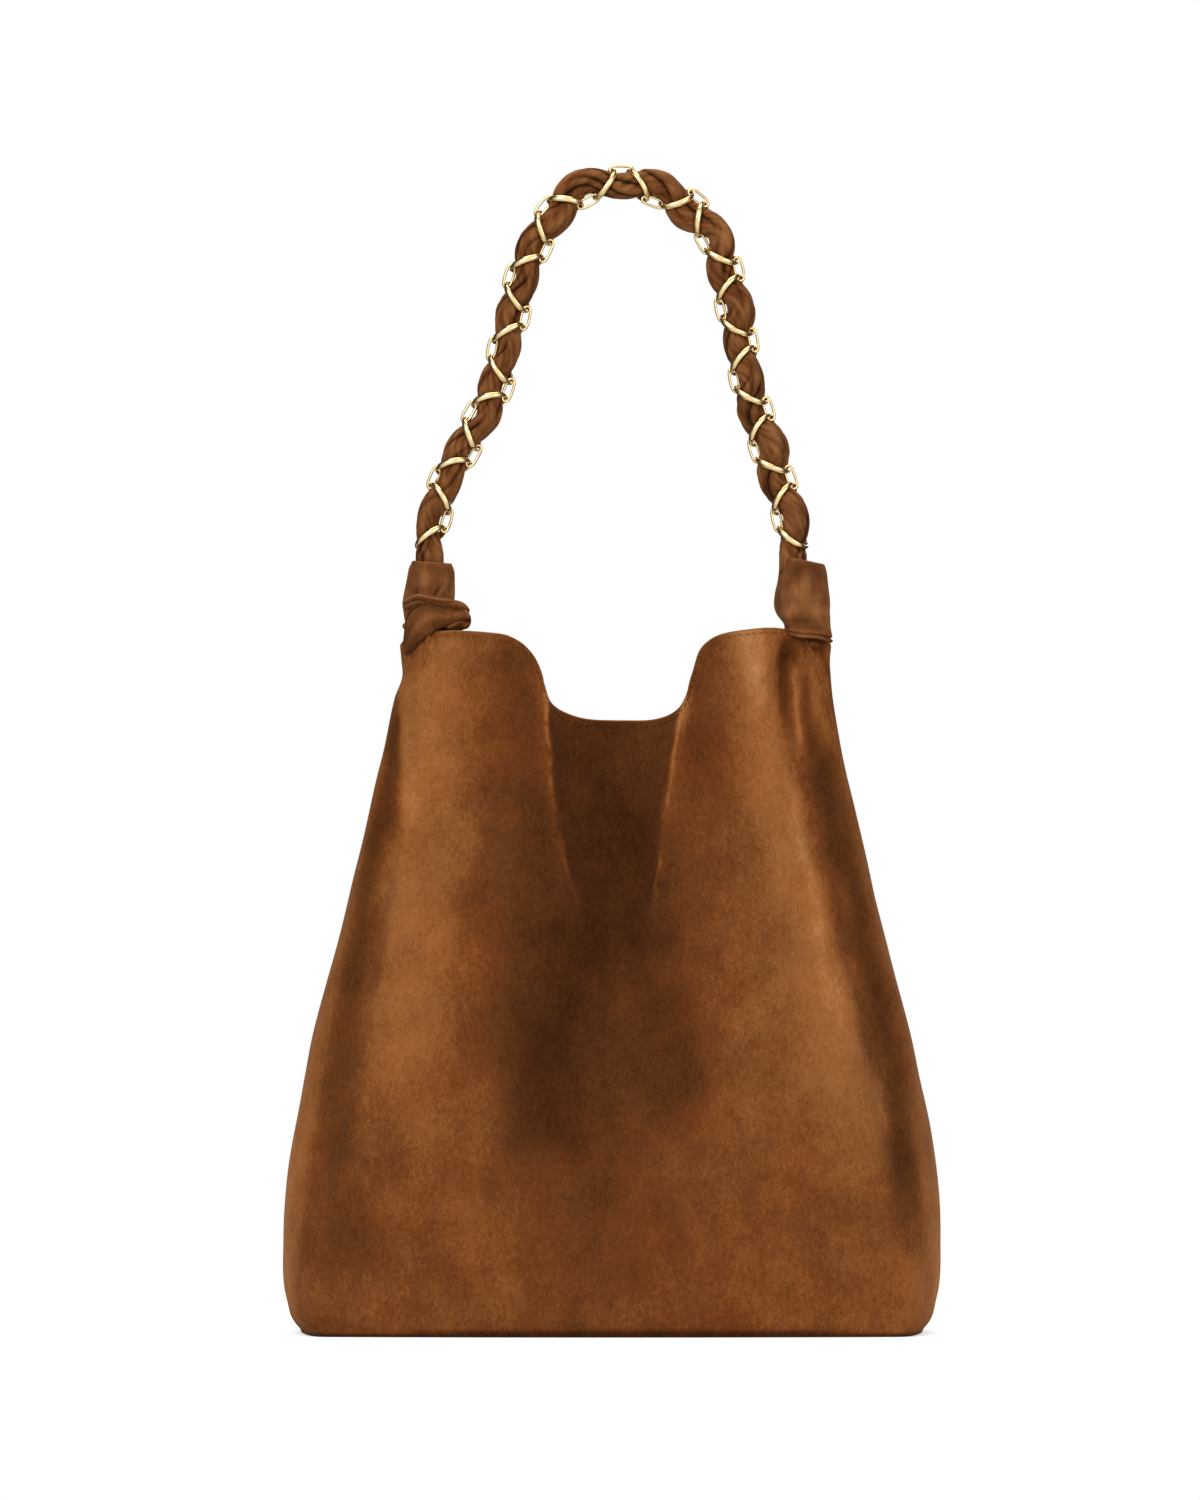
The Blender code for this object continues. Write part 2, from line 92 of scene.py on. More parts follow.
def through(stops, at):
    # smooth curve through a few (place, value) stops, held beyond both ends
    places = np.array([stop[0] for stop in stops])
    values = np.array([stop[1] for stop in stops])
    slopes = np.gradient(values, places)
    at = np.clip(at, places[0], places[-1])
    index = np.clip(np.searchsorted(places, at) - 1, 0, len(places) - 2)
    span = places[index + 1] - places[index]
    t = (at - places[index]) / span
    low, high = values[index], values[index + 1]
    return (
        low * (2 * t**3 - 3 * t**2 + 1) + slopes[index] * span * (t**3 - 2 * t**2 + t)
        + high * (3 * t**2 - 2 * t**3) + slopes[index + 1] * span * (t**3 - t**2)
    )


def throughColumns(places, table, at):
    # one smooth curve for each column of a table
    return [through(list(zip(places, column)), at) for column in np.array(table, dtype=float).T]


def runAlong(points):
    return np.concatenate([[0.0], np.cumsum(np.linalg.norm(np.diff(points, axis=0), axis=1))])


def pointsAt(at, run, points):
    return np.stack([np.interp(at, run, column) for column in points.T], axis=-1)


def newPiece(name, verts, faces, material, smooth=True):
    mesh = bpy.data.meshes.new(name)
    mesh.from_pydata([tuple(v) for v in verts], [], faces)
    mesh.validate()
    piece = bpy.data.objects.new(name, mesh)
    scene.collection.objects.link(piece)
    mesh.materials.append(material)
    if smooth:
        mesh.shade_smooth()
    return piece


def gridFaces(rows, columns, start=0, looped=False):
    # faces between closed rings of points, and from the last ring to the first where it is looped
    faces = []
    for row in range(rows if looped else rows - 1):
        low = start + row * columns
        high = start + (row + 1) % rows * columns
        for column in range(columns):
            after = (column + 1) % columns
            faces.append((low + column, low + after, high + after, high + column))
    return faces


def tubeFaces(rows, columns, start=0):
    # the same with both ends capped
    last = start + (rows - 1) * columns
    faces = gridFaces(rows, columns, start)
    faces.append(tuple(range(start, start + columns))[::-1])
    faces.append(tuple(range(last, last + columns)))
    return faces


def faceOutward(piece):
    bm = bmesh.new()
    bm.from_mesh(piece.data)
    bmesh.ops.recalc_face_normals(bm, faces=bm.faces)
    bm.to_mesh(piece.data)
    bm.free()


def paintShade(piece, values):
    # painted shade and light at each point, which the suede reads: below 0 dark, above 0 light
    layer = piece.data.attributes.new("shade", "FLOAT", "POINT")
    layer.data.foreach_set("value", np.asarray(values, dtype=np.float32).ravel())


# Shader node groups

def nodeAt(tree, kind, x, y, **settings):
    node = tree.nodes.new(kind)
    node.location = (x, y)
    for key, value in settings.items():
        setattr(node, key, value)
    return node


def newMaterial(name):
    material = bpy.data.materials.new(name)
    material.use_nodes = True
    tree = material.node_tree
    return material, tree, tree.nodes["Principled BSDF"]


def setInputs(node, **values):
    for key, value in values.items():
        node.inputs[key].default_value = value
    return node


def newGroup(name, inputs, outputs):
    tree = bpy.data.node_groups.new(name, "ShaderNodeTree")
    for label, kind, value in inputs:
        socket = tree.interface.new_socket(label, in_out="INPUT", socket_type=kind)
        socket.default_value = value
    for label, kind in outputs:
        tree.interface.new_socket(label, in_out="OUTPUT", socket_type=kind)
    return tree, nodeAt(tree, "NodeGroupInput", -900, 0), nodeAt(tree, "NodeGroupOutput", 1100, 0)


def mixColour(tree, x, y, factor, first, second, blend="MIX"):
    node = nodeAt(tree, "ShaderNodeMix", x, y, data_type="RGBA", blend_type=blend)
    for socket, value in ((node.inputs[0], factor), (node.inputs[6], first), (node.inputs[7], second)):
        if hasattr(value, "node"):
            tree.links.new(value, socket)
        elif value is not None:
            socket.default_value = value
    return node.outputs[2]


def maths(tree, x, y, operation, first, second=None, third=None, clamp=False):
    node = nodeAt(tree, "ShaderNodeMath", x, y, operation=operation, use_clamp=clamp)
    for socket, value in zip(node.inputs, (first, second, third)):
        if hasattr(value, "node"):
            tree.links.new(value, socket)
        elif value is not None:
            socket.default_value = value
    return node.outputs[0]


def noiseAt(tree, x, y, coords, scale, detail=3.0, rough=0.55, stretch=None):
    source = coords
    if stretch is not None:
        mapping = nodeAt(tree, "ShaderNodeMapping", x - 200, y)
        mapping.inputs["Scale"].default_value = stretch
        tree.links.new(coords, mapping.inputs["Vector"])
        source = mapping.outputs[0]
    node = nodeAt(tree, "ShaderNodeTexNoise", x, y)
    setInputs(node, Detail=detail, Roughness=rough)
    if hasattr(scale, "node"):
        tree.links.new(scale, node.inputs["Scale"])
    else:
        node.inputs["Scale"].default_value = scale
    tree.links.new(source, node.inputs["Vector"])
    return node.outputs["Fac"]


suedeDrift = {"cool": (0.90, 1.03, 1.12, 1.0), "warm": (1.13, 0.97, 0.84, 1.0)}   # slow change of hue


def suedeGroup():
    tree, given, out = newGroup(
        "suedeNapAndShade",
        [("Dark", "NodeSocketColor", (0.05, 0.016, 0.004, 1.0)),
         ("Middle", "NodeSocketColor", (0.2, 0.06, 0.016, 1.0)),
         ("Light", "NodeSocketColor", (0.34, 0.12, 0.035, 1.0)),
         ("Pale", "NodeSocketColor", (0.6, 0.3, 0.12, 1.0)),
         ("Shade", "NodeSocketFloat", 0.0),
         ("Mottle", "NodeSocketFloat", 0.35),
         ("Cloud Scale", "NodeSocketFloat", 16.0)],
        [("Color", "NodeSocketColor"), ("Height", "NodeSocketFloat"), ("Roughness", "NodeSocketFloat")],
    )
    coords = nodeAt(tree, "ShaderNodeTexCoord", -900, 300).outputs["Object"]
    clouds = noiseAt(tree, -600, 300, coords, given.outputs["Cloud Scale"], 4.0, 0.6)
    brushed = noiseAt(tree, -600, 100, coords, 60.0, 3.0, 0.6, (1.0, 1.0, 0.62))
    flecks = noiseAt(tree, -600, -100, coords, 420.0, 3.0, 0.7, (1.0, 1.0, 0.6))
    fibre = noiseAt(tree, -600, -300, coords, 1500.0, 2.0, 0.6, (1.0, 1.0, 0.45))
    cloudTone = maths(tree, -350, 300, "MULTIPLY_ADD", clouds, 1.5, -0.75)
    brushTone = maths(tree, -350, 100, "MULTIPLY_ADD", brushed, 1.4, -0.7)
    fleckTone = maths(tree, -350, -100, "MULTIPLY_ADD", flecks, 1.8, -0.9)
    fibreTone = maths(tree, -350, -300, "MULTIPLY_ADD", fibre, 1.8, -0.9)
    broad = maths(tree, -150, 200, "ADD", cloudTone, brushTone)
    fine = maths(tree, -150, -150, "ADD", fleckTone, fibreTone)
    both = maths(tree, 0, 100, "ADD", broad, fine)
    # the grain is calmer where the painted shade is dark
    calm = maths(tree, 0, -50, "MULTIPLY_ADD", given.outputs["Shade"], 0.62, 1.0, clamp=True)
    weight = maths(tree, 75, -50, "MULTIPLY", calm, given.outputs["Mottle"])
    mottled = maths(tree, 150, 100, "MULTIPLY", both, weight)
    # the painted shade and light from the mesh join the grain here
    tone = maths(tree, 300, 100, "ADD", mottled, given.outputs["Shade"])
    upward = maths(tree, 450, 200, "MULTIPLY", tone, 1.0, clamp=True)
    downward = maths(tree, 450, 0, "MULTIPLY", tone, -1.0, clamp=True)
    lit = mixColour(tree, 600, 200, upward, given.outputs["Middle"], given.outputs["Light"])
    # tone above 1 goes on towards Pale, as a painted highlight
    paintedHighlight = maths(tree, 450, 400, "SUBTRACT", tone, 1.0, clamp=True)
    bright = mixColour(tree, 650, 300, paintedHighlight, lit, given.outputs["Pale"])
    shaded = mixColour(tree, 750, 100, downward, bright, given.outputs["Dark"])
    height = maths(tree, 600, -200, "MULTIPLY_ADD", flecks, 0.7, fibre)
    rough = maths(tree, 600, -400, "MULTIPLY_ADD", fibre, 0.12, 0.84)
    warmth = noiseAt(tree, 600, 400, coords, 17.0, 2.0, 0.5)
    drift = mixColour(tree, 750, 400, warmth, suedeDrift["cool"], suedeDrift["warm"])
    tree.links.new(mixColour(tree, 900, 200, 1.0, shaded, drift, "MULTIPLY"), out.inputs["Color"])
    tree.links.new(height, out.inputs["Height"])
    tree.links.new(rough, out.inputs["Roughness"])
    return tree


suedeNapAndShade = suedeGroup()

suedeTones = {
    "Dark": (0.046, 0.0135, 0.0032, 1.0),
    "Middle": (0.195, 0.0600, 0.0140, 1.0),
    "Light": (0.408, 0.1530, 0.0445, 1.0),
    "Pale": (0.640, 0.3000, 0.1250, 1.0),      # painted highlight on the brightest edges and crests
}


suedeLooks = {
    # the body is brushed into broad clouds, and the strap and knots are gathered tighter
    "bodySuede": {"mottle": 0.66, "cloudScale": 26.0, "bump": 0.60, "tint": (1.0, 1.0, 1.0)},
    "strapSuede": {"mottle": 0.30, "cloudScale": 45.0, "bump": 0.55, "tint": (0.88, 0.98, 1.16)},
    "knotSuede": {"mottle": 0.42, "cloudScale": 40.0, "bump": 0.55, "tint": (1.04, 1.16, 1.46)},
}
suedeSheen = {"weight": 0.15, "roughness": 0.36, "tint": (0.95, 0.62, 0.36, 1.0)}


def suedeMaterial(name, mottle, cloudScale, bump, tint):
    material, tree, shader = newMaterial(name)
    napAndShade = nodeAt(tree, "ShaderNodeGroup", -500, 200, node_tree=suedeNapAndShade)
    for tone, colour in suedeTones.items():
        red, green, blue = (part * share for part, share in zip(colour, tint))
        napAndShade.inputs[tone].default_value = (red, green, blue, 1.0)
    napAndShade.inputs["Mottle"].default_value = mottle
    napAndShade.inputs["Cloud Scale"].default_value = cloudScale
    layer = nodeAt(tree, "ShaderNodeAttribute", -800, 100, attribute_name="shade")
    tree.links.new(layer.outputs["Fac"], napAndShade.inputs["Shade"])
    relief = nodeAt(tree, "ShaderNodeBump", -250, -200)
    setInputs(relief, Strength=bump, Distance=0.0006)
    tree.links.new(napAndShade.outputs["Height"], relief.inputs["Height"])
    tree.links.new(relief.outputs["Normal"], shader.inputs["Normal"])
    tree.links.new(napAndShade.outputs["Color"], shader.inputs["Base Color"])
    tree.links.new(napAndShade.outputs["Roughness"], shader.inputs["Roughness"])
    shader.inputs["Specular IOR Level"].default_value = 0.06
    for part, value in suedeSheen.items():
        shader.inputs["Sheen " + part.title()].default_value = value
    return material


bodySuede, strapSuede, knotSuede = (suedeMaterial(name, **look) for name, look in suedeLooks.items())
print("suede materials ready")


# Body: one lofted suede shell, with its folds, pleats and sagging sides

body = {
    "levels": (0.0, 0.006, 0.020, 0.056, 0.161, 0.253, 0.335, 0.380, 0.410),
    "widths": (0.3575, 0.3690, 0.3785, 0.3835, 0.3530, 0.3070, 0.2720, 0.2510, 0.2260),
    "depths": (0.124, 0.1253, 0.128, 0.132, 0.104, 0.074, 0.046, 0.032, 0.026),
    "faceBulge": 0.014,
    "edgeBulge": 0.005,
    "sideBulge": 0.018,
    "bulgePower": 0.6,
    "rimHeight": 0.410,
    "cornerTop": 0.4005,        # where the gussets stop under the knots
    "cornerRise": 0.008,        # how much higher their front and back corners are
    "topNarrow": 0.42,          # share of its depth that a gusset loses up there
    "seamInset": 0.0016,        # room left for the turned edges of the faces
    "sideSquare": 2.6,          # 2 is a round swelling, and more is squarer
    "tuck": 0.0045,             # how far a gusset folds in below its knot
    "footFlat": 0.55,           # share of the bulge that a face keeps at the foot
    "thickness": 0.0020,
    "facingDrop": 0.045,        # how far the suede is seen to turn in behind the rim
    "faceColumns": 260,
    "sideColumns": 50,
    "rows": 230,
    "cornerBlur": 4.0,          # columns of soft rounding at the side folds
    "foldDepth": 0.0064,        # how far the side folds sink in
    "ripples": ((14.0, 0.6, 3.1, 0.0011), (38.0, 0.7, 9.7, 0.0005)),   # scale, stretch, seed, height
    "rippleStep": 4,            # columns from one sample of the ripples to the next
    "floor": 0.0030,            # where the wall starts above the underside
    # how the top edges of the gussets hang free under the sleeves: height, metres outward
    "rightFlare": [(0.30, 0.0), (0.345, 0.0010), (0.376, 0.0035), (0.393, 0.0085), (0.404, 0.0125)],
    "leftFlare": [(0.370, 0.0), (0.3825, -0.0004), (0.3905, 0.0030), (0.404, 0.0080)],
    # painted shade under the base and on the facing inside the rim, painted highlight on the rolled rim
    "underShade": -0.80, "rimHighlight": 0.55, "facingShade": -0.15,
}

# Rim of the front from the left corner to the right one, across and up
rimStops = [
    (-0.1070, 0.4065), (-0.0900, 0.4080), (-0.0650, 0.4062), (-0.0560, 0.4034), (-0.0489, 0.3985),
    (-0.0430, 0.3905), (-0.0385, 0.3770), (-0.0349, 0.3667), (-0.0270, 0.3606), (-0.0140, 0.3565),
    (0.0050, 0.3556), (0.0240, 0.3562), (0.0360, 0.3610), (0.0421, 0.3695), (0.0460, 0.3830),
    (0.0500, 0.3960), (0.0560, 0.4025), (0.0640, 0.4062), (0.0770, 0.4085), (0.0920, 0.4096),
    (0.1070, 0.4080),
]

# Pleat lines that run down from the two corners of the dip: height, across
pleatLeft = [(0.100, -0.043), (0.150, -0.033), (0.200, -0.022), (0.247, -0.0190), (0.260, -0.0227),
             (0.282, -0.0282), (0.300, -0.0318), (0.315, -0.0340), (0.330, -0.0353), (0.350, -0.0361),
             (0.372, -0.0375)]
pleatRight = [(0.100, 0.050), (0.150, 0.042), (0.200, 0.030), (0.241, 0.0230), (0.282, 0.0280),
              (0.317, 0.0325), (0.348, 0.0365), (0.372, 0.0420)]


def atLevel(values, height):
    return through(list(zip(body["levels"], values)), height)


def sideBulge(height):
    share = np.clip(height / body["rimHeight"], 0.0, 1.0)
    return body["edgeBulge"] + body["sideBulge"] * np.sin(np.pi * share ** body["bulgePower"])


def seamHalfWidth(height):
    return atLevel(body["widths"], height) / 2 - sideBulge(height)


def seamHalfDepth(height):
    return atLevel(body["depths"], height) / 2


def rimCurve(count):
    # evenly spaced points along the rim, so that columns crowd where it is steep
    last = len(rimStops) - 1
    dense = np.linspace(0, last, 1200)
    points = np.stack(throughColumns(range(last + 1), rimStops, dense), axis=1)
    run = runAlong(points)
    return pointsAt(np.linspace(0, run[-1], count), run, points).T


def noiseField(x, y, z, scale, seed):
    flat = np.empty(x.size)
    for index, (a, b, c) in enumerate(zip(x.ravel(), y.ravel(), z.ravel())):
        flat[index] = noise.noise(Vector((a * scale + seed, b * scale, c * scale)))
    return flat.reshape(x.shape)


valley = {
    # stops of height and metres: softness of the pleat walls, depth between them, wide hollow round them
    "wall": [(0.10, 0.050), (0.20, 0.036), (0.26, 0.026), (0.32, 0.016), (0.37, 0.012)],
    "deep": [(0.08, 0.0), (0.12, 0.0030), (0.17, 0.0070), (0.24, 0.0105), (0.31, 0.0110), (0.37, 0.0105)],
    "broad": [(0.09, 0.0), (0.18, 0.0050), (0.26, 0.0105), (0.33, 0.0125), (0.37, 0.0120)],
    "broadWidth": 0.048,
    "crest": 0.0014, "crestWidth": 0.0032,
    "forkLeft": 0.0040, "forkRight": 0.0034,
    "backBroad": [(0.10, 0.0), (0.20, 0.0090), (0.30, 0.0190), (0.37, 0.0215)],
    "backWidth": 0.040,
    "backSlack": (0.0035, 0.0040),
}


def frontRelief(x, z):
    # depth lost behind the smooth face of the front, in metres
    left = through(pleatLeft, z)
    right = through(pleatRight, z)
    wall = through(valley["wall"], z)
    inside = ease((x - left + 0.2 * wall) / wall) * ease((right - x + 0.2 * wall) / wall)
    relief = through(valley["deep"], z) * inside
    relief += through(valley["broad"], z) * bell(x - 0.003, valley["broadWidth"])
    crest = ease((z - 0.235) / 0.05) * valley["crest"]
    relief -= crest * bell(x - left + 0.001, valley["crestWidth"])
    relief -= crest * bell(x - right - 0.001, valley["crestWidth"])
    # soft grooves that spread under the pleats
    fork = ease((z - 0.095) / 0.05) * (1 - ease((z - 0.20) / 0.06))
    relief += fork * valley["forkLeft"] * bell(x - left - 0.004, 0.016)
    relief += fork * valley["forkRight"] * bell(x - right + 0.004, 0.017)
    return relief


# Short creases that fan down from the knots: angle, reach, depth
creases = {
    "top": 0.402, "foot": 0.104,
    "right": [(-0.52, 0.050, 0.0016), (-0.27, 0.075, 0.0028), (-0.07, 0.095, 0.0034), (0.10, 0.110, 0.0030)],
    "left": [(0.30, 0.045, 0.0010), (0.05, 0.070, 0.0015), (-0.12, 0.085, 0.0013)],
}


def creaseFade(down, reach):
    return ease(down / 0.012) * (1 - ease((down - 0.4 * reach) / (0.6 * reach)))


def gathers(x, z):
    relief = np.zeros_like(x)
    down = np.clip(creases["top"] - z, 0.0, None)
    for angle, reach, depth in creases["right"]:
        offset = x - (creases["foot"] + down * np.tan(angle))
        relief += depth * creaseFade(down, reach) * bell(offset, 0.0032 + 0.05 * down)
    for angle, reach, depth in creases["left"]:
        offset = x + creases["foot"] - down * np.tan(angle)
        relief += depth * creaseFade(down, reach) * bell(offset, 0.0035 + 0.05 * down)
    return relief


def backRelief(x, z):
    # the back hangs plainer: one broad valley and two slack folds
    relief = through(valley["backBroad"], z) * bell(x + 0.002, valley["backWidth"])
    slack = ease((z - 0.06) / 0.08) * (1 - ease((z - 0.27) / 0.10))
    right, left = valley["backSlack"]
    relief += slack * right * bell(x - 0.075 + 0.25 * (z - 0.15), 0.016)
    relief += slack * left * bell(x + 0.083 + 0.20 * (z - 0.15), 0.018)
    return relief


def bodyColumns():
    faceCount, sideCount = body["faceColumns"], body["sideColumns"]
    rimX, rimZ = rimCurve(faceCount)
    rimU = rimX / seamHalfWidth(rimZ)
    rimU /= np.abs(rimU).max()
    faceU = np.linspace(-1, 1, faceCount)
    sideV = np.linspace(-1, 1, sideCount + 2)[1:-1]
    return faceU, rimU, rimZ, sideV


def bodySheet():
    faceU, rimU, rimZ, sideV = bodyColumns()
    rows = body["rows"]
    share = np.linspace(0, 1, rows)[:, None]
    floor = body["floor"]
    sideTop = body["cornerTop"] + body["cornerRise"] * np.abs(sideV) ** 3
    parts = []
    for facing in (-1, 1):
        u = faceU + (rimU - faceU) * ease(share * 1.15 - 0.15)     # even below, crowded as the rim is above
        z = floor + share * (rimZ - floor)
        x = u * seamHalfWidth(z)
        full = body["faceBulge"] * (body["footFlat"] + (1 - body["footFlat"]) * ease(z / 0.10))
        depth = seamHalfDepth(z) + full * (1 - u**2)
        relief = frontRelief(x, z) + gathers(x, z) if facing < 0 else backRelief(x, z)
        depth = depth - relief
        parts.append(np.stack([x, facing * depth, z], axis=-1))
    front, back = parts[0], parts[1][:, ::-1]
    z = floor + share * (sideTop - floor)
    narrow = 1 - body["topNarrow"] * ease((z - 0.372) / 0.03)
    y = sideV * (seamHalfDepth(z) - body["seamInset"]) * narrow
    out = seamHalfWidth(z) + sideBulge(z) * (1 - np.abs(sideV) ** body["sideSquare"])
    tuck = ease((z - 0.26) / 0.10) * (1 - ease((z - 0.385) / 0.015)) * body["tuck"]
    out = out - tuck * bell(sideV, 0.35)
    right = np.stack([out + through(body["rightFlare"], z), y, z + 0 * y], axis=-1)
    left = np.stack([-out - through(body["leftFlare"], z), y, z + 0 * y], axis=-1)[:, ::-1]
    return np.concatenate([front, right, back, left], axis=1)


def roundCorners(sheet):
    # blur the loop near the four side folds, so that they turn softly
    faceCount, sideCount = body["faceColumns"], body["sideColumns"]
    columns = sheet.shape[1]
    seams = (0, faceCount - 0.5, faceCount + sideCount, 2 * faceCount + sideCount - 0.5)
    place = np.arange(columns)
    near = np.zeros(columns)
    for seam in seams:
        gap = np.abs(place - seam)
        gap = np.minimum(gap, columns - gap)
        near = np.maximum(near, np.exp(-(gap / (2.6 * body["cornerBlur"])) ** 2))
    reach = int(4 * body["cornerBlur"])
    steps = np.arange(-reach, reach + 1)
    weights = np.exp(-0.5 * (steps / body["cornerBlur"]) ** 2)
    weights /= weights.sum()
    flat = sheet[:, :, :2]
    blurred = sum(w * np.roll(flat, -s, axis=1) for w, s in zip(weights, steps))
    height = sheet[:, :, 2]
    amount = near[None, :] * (1 - 0.5 * ease((height - 0.37) / 0.03))
    sheet[:, :, :2] = flat + (blurred - flat) * amount[:, :, None]
    return near


def outwardNormals(sheet):
    across = np.roll(sheet, -1, axis=1) - np.roll(sheet, 1, axis=1)
    up = np.gradient(sheet, axis=0)
    normal = np.cross(across, up)
    return normal / np.maximum(np.linalg.norm(normal, axis=-1, keepdims=True), 1e-12)


def seamGrooves(sheet, near):
    # the side folds sink in between the face and the swelling gusset
    z = sheet[:, :, 2]
    amount = ease((z - 0.010) / 0.12) * (1 - ease((z - 0.22) / 0.14))
    tight = near ** 2.2
    frontSide = np.where(sheet[:, :, 1] < 0, 1.0, 0.7)
    sheet -= outwardNormals(sheet) * (body["foldDepth"] * amount * tight[None, :] * frontSide)[:, :, None]


def slackRipples(sheet):
    # low, broad unevenness of hide that hangs under its own weight
    step = body["rippleStep"]
    x, y, z = (sheet[:, ::step, axis] for axis in range(3))
    coarse = sum(noiseField(x, y, z * stretch, scale, seed) * height
                 for scale, stretch, seed, height in body["ripples"])
    coarse = np.concatenate([coarse, coarse[:, :1]], axis=1)
    columns = sheet.shape[1]
    spots = np.append(np.arange(0, columns, step), columns)
    fine = np.array([np.interp(np.arange(columns), spots, row) for row in coarse])
    calm = ease(z[:, :1] / 0.03)
    sheet += outwardNormals(sheet) * (fine * calm)[:, :, None]
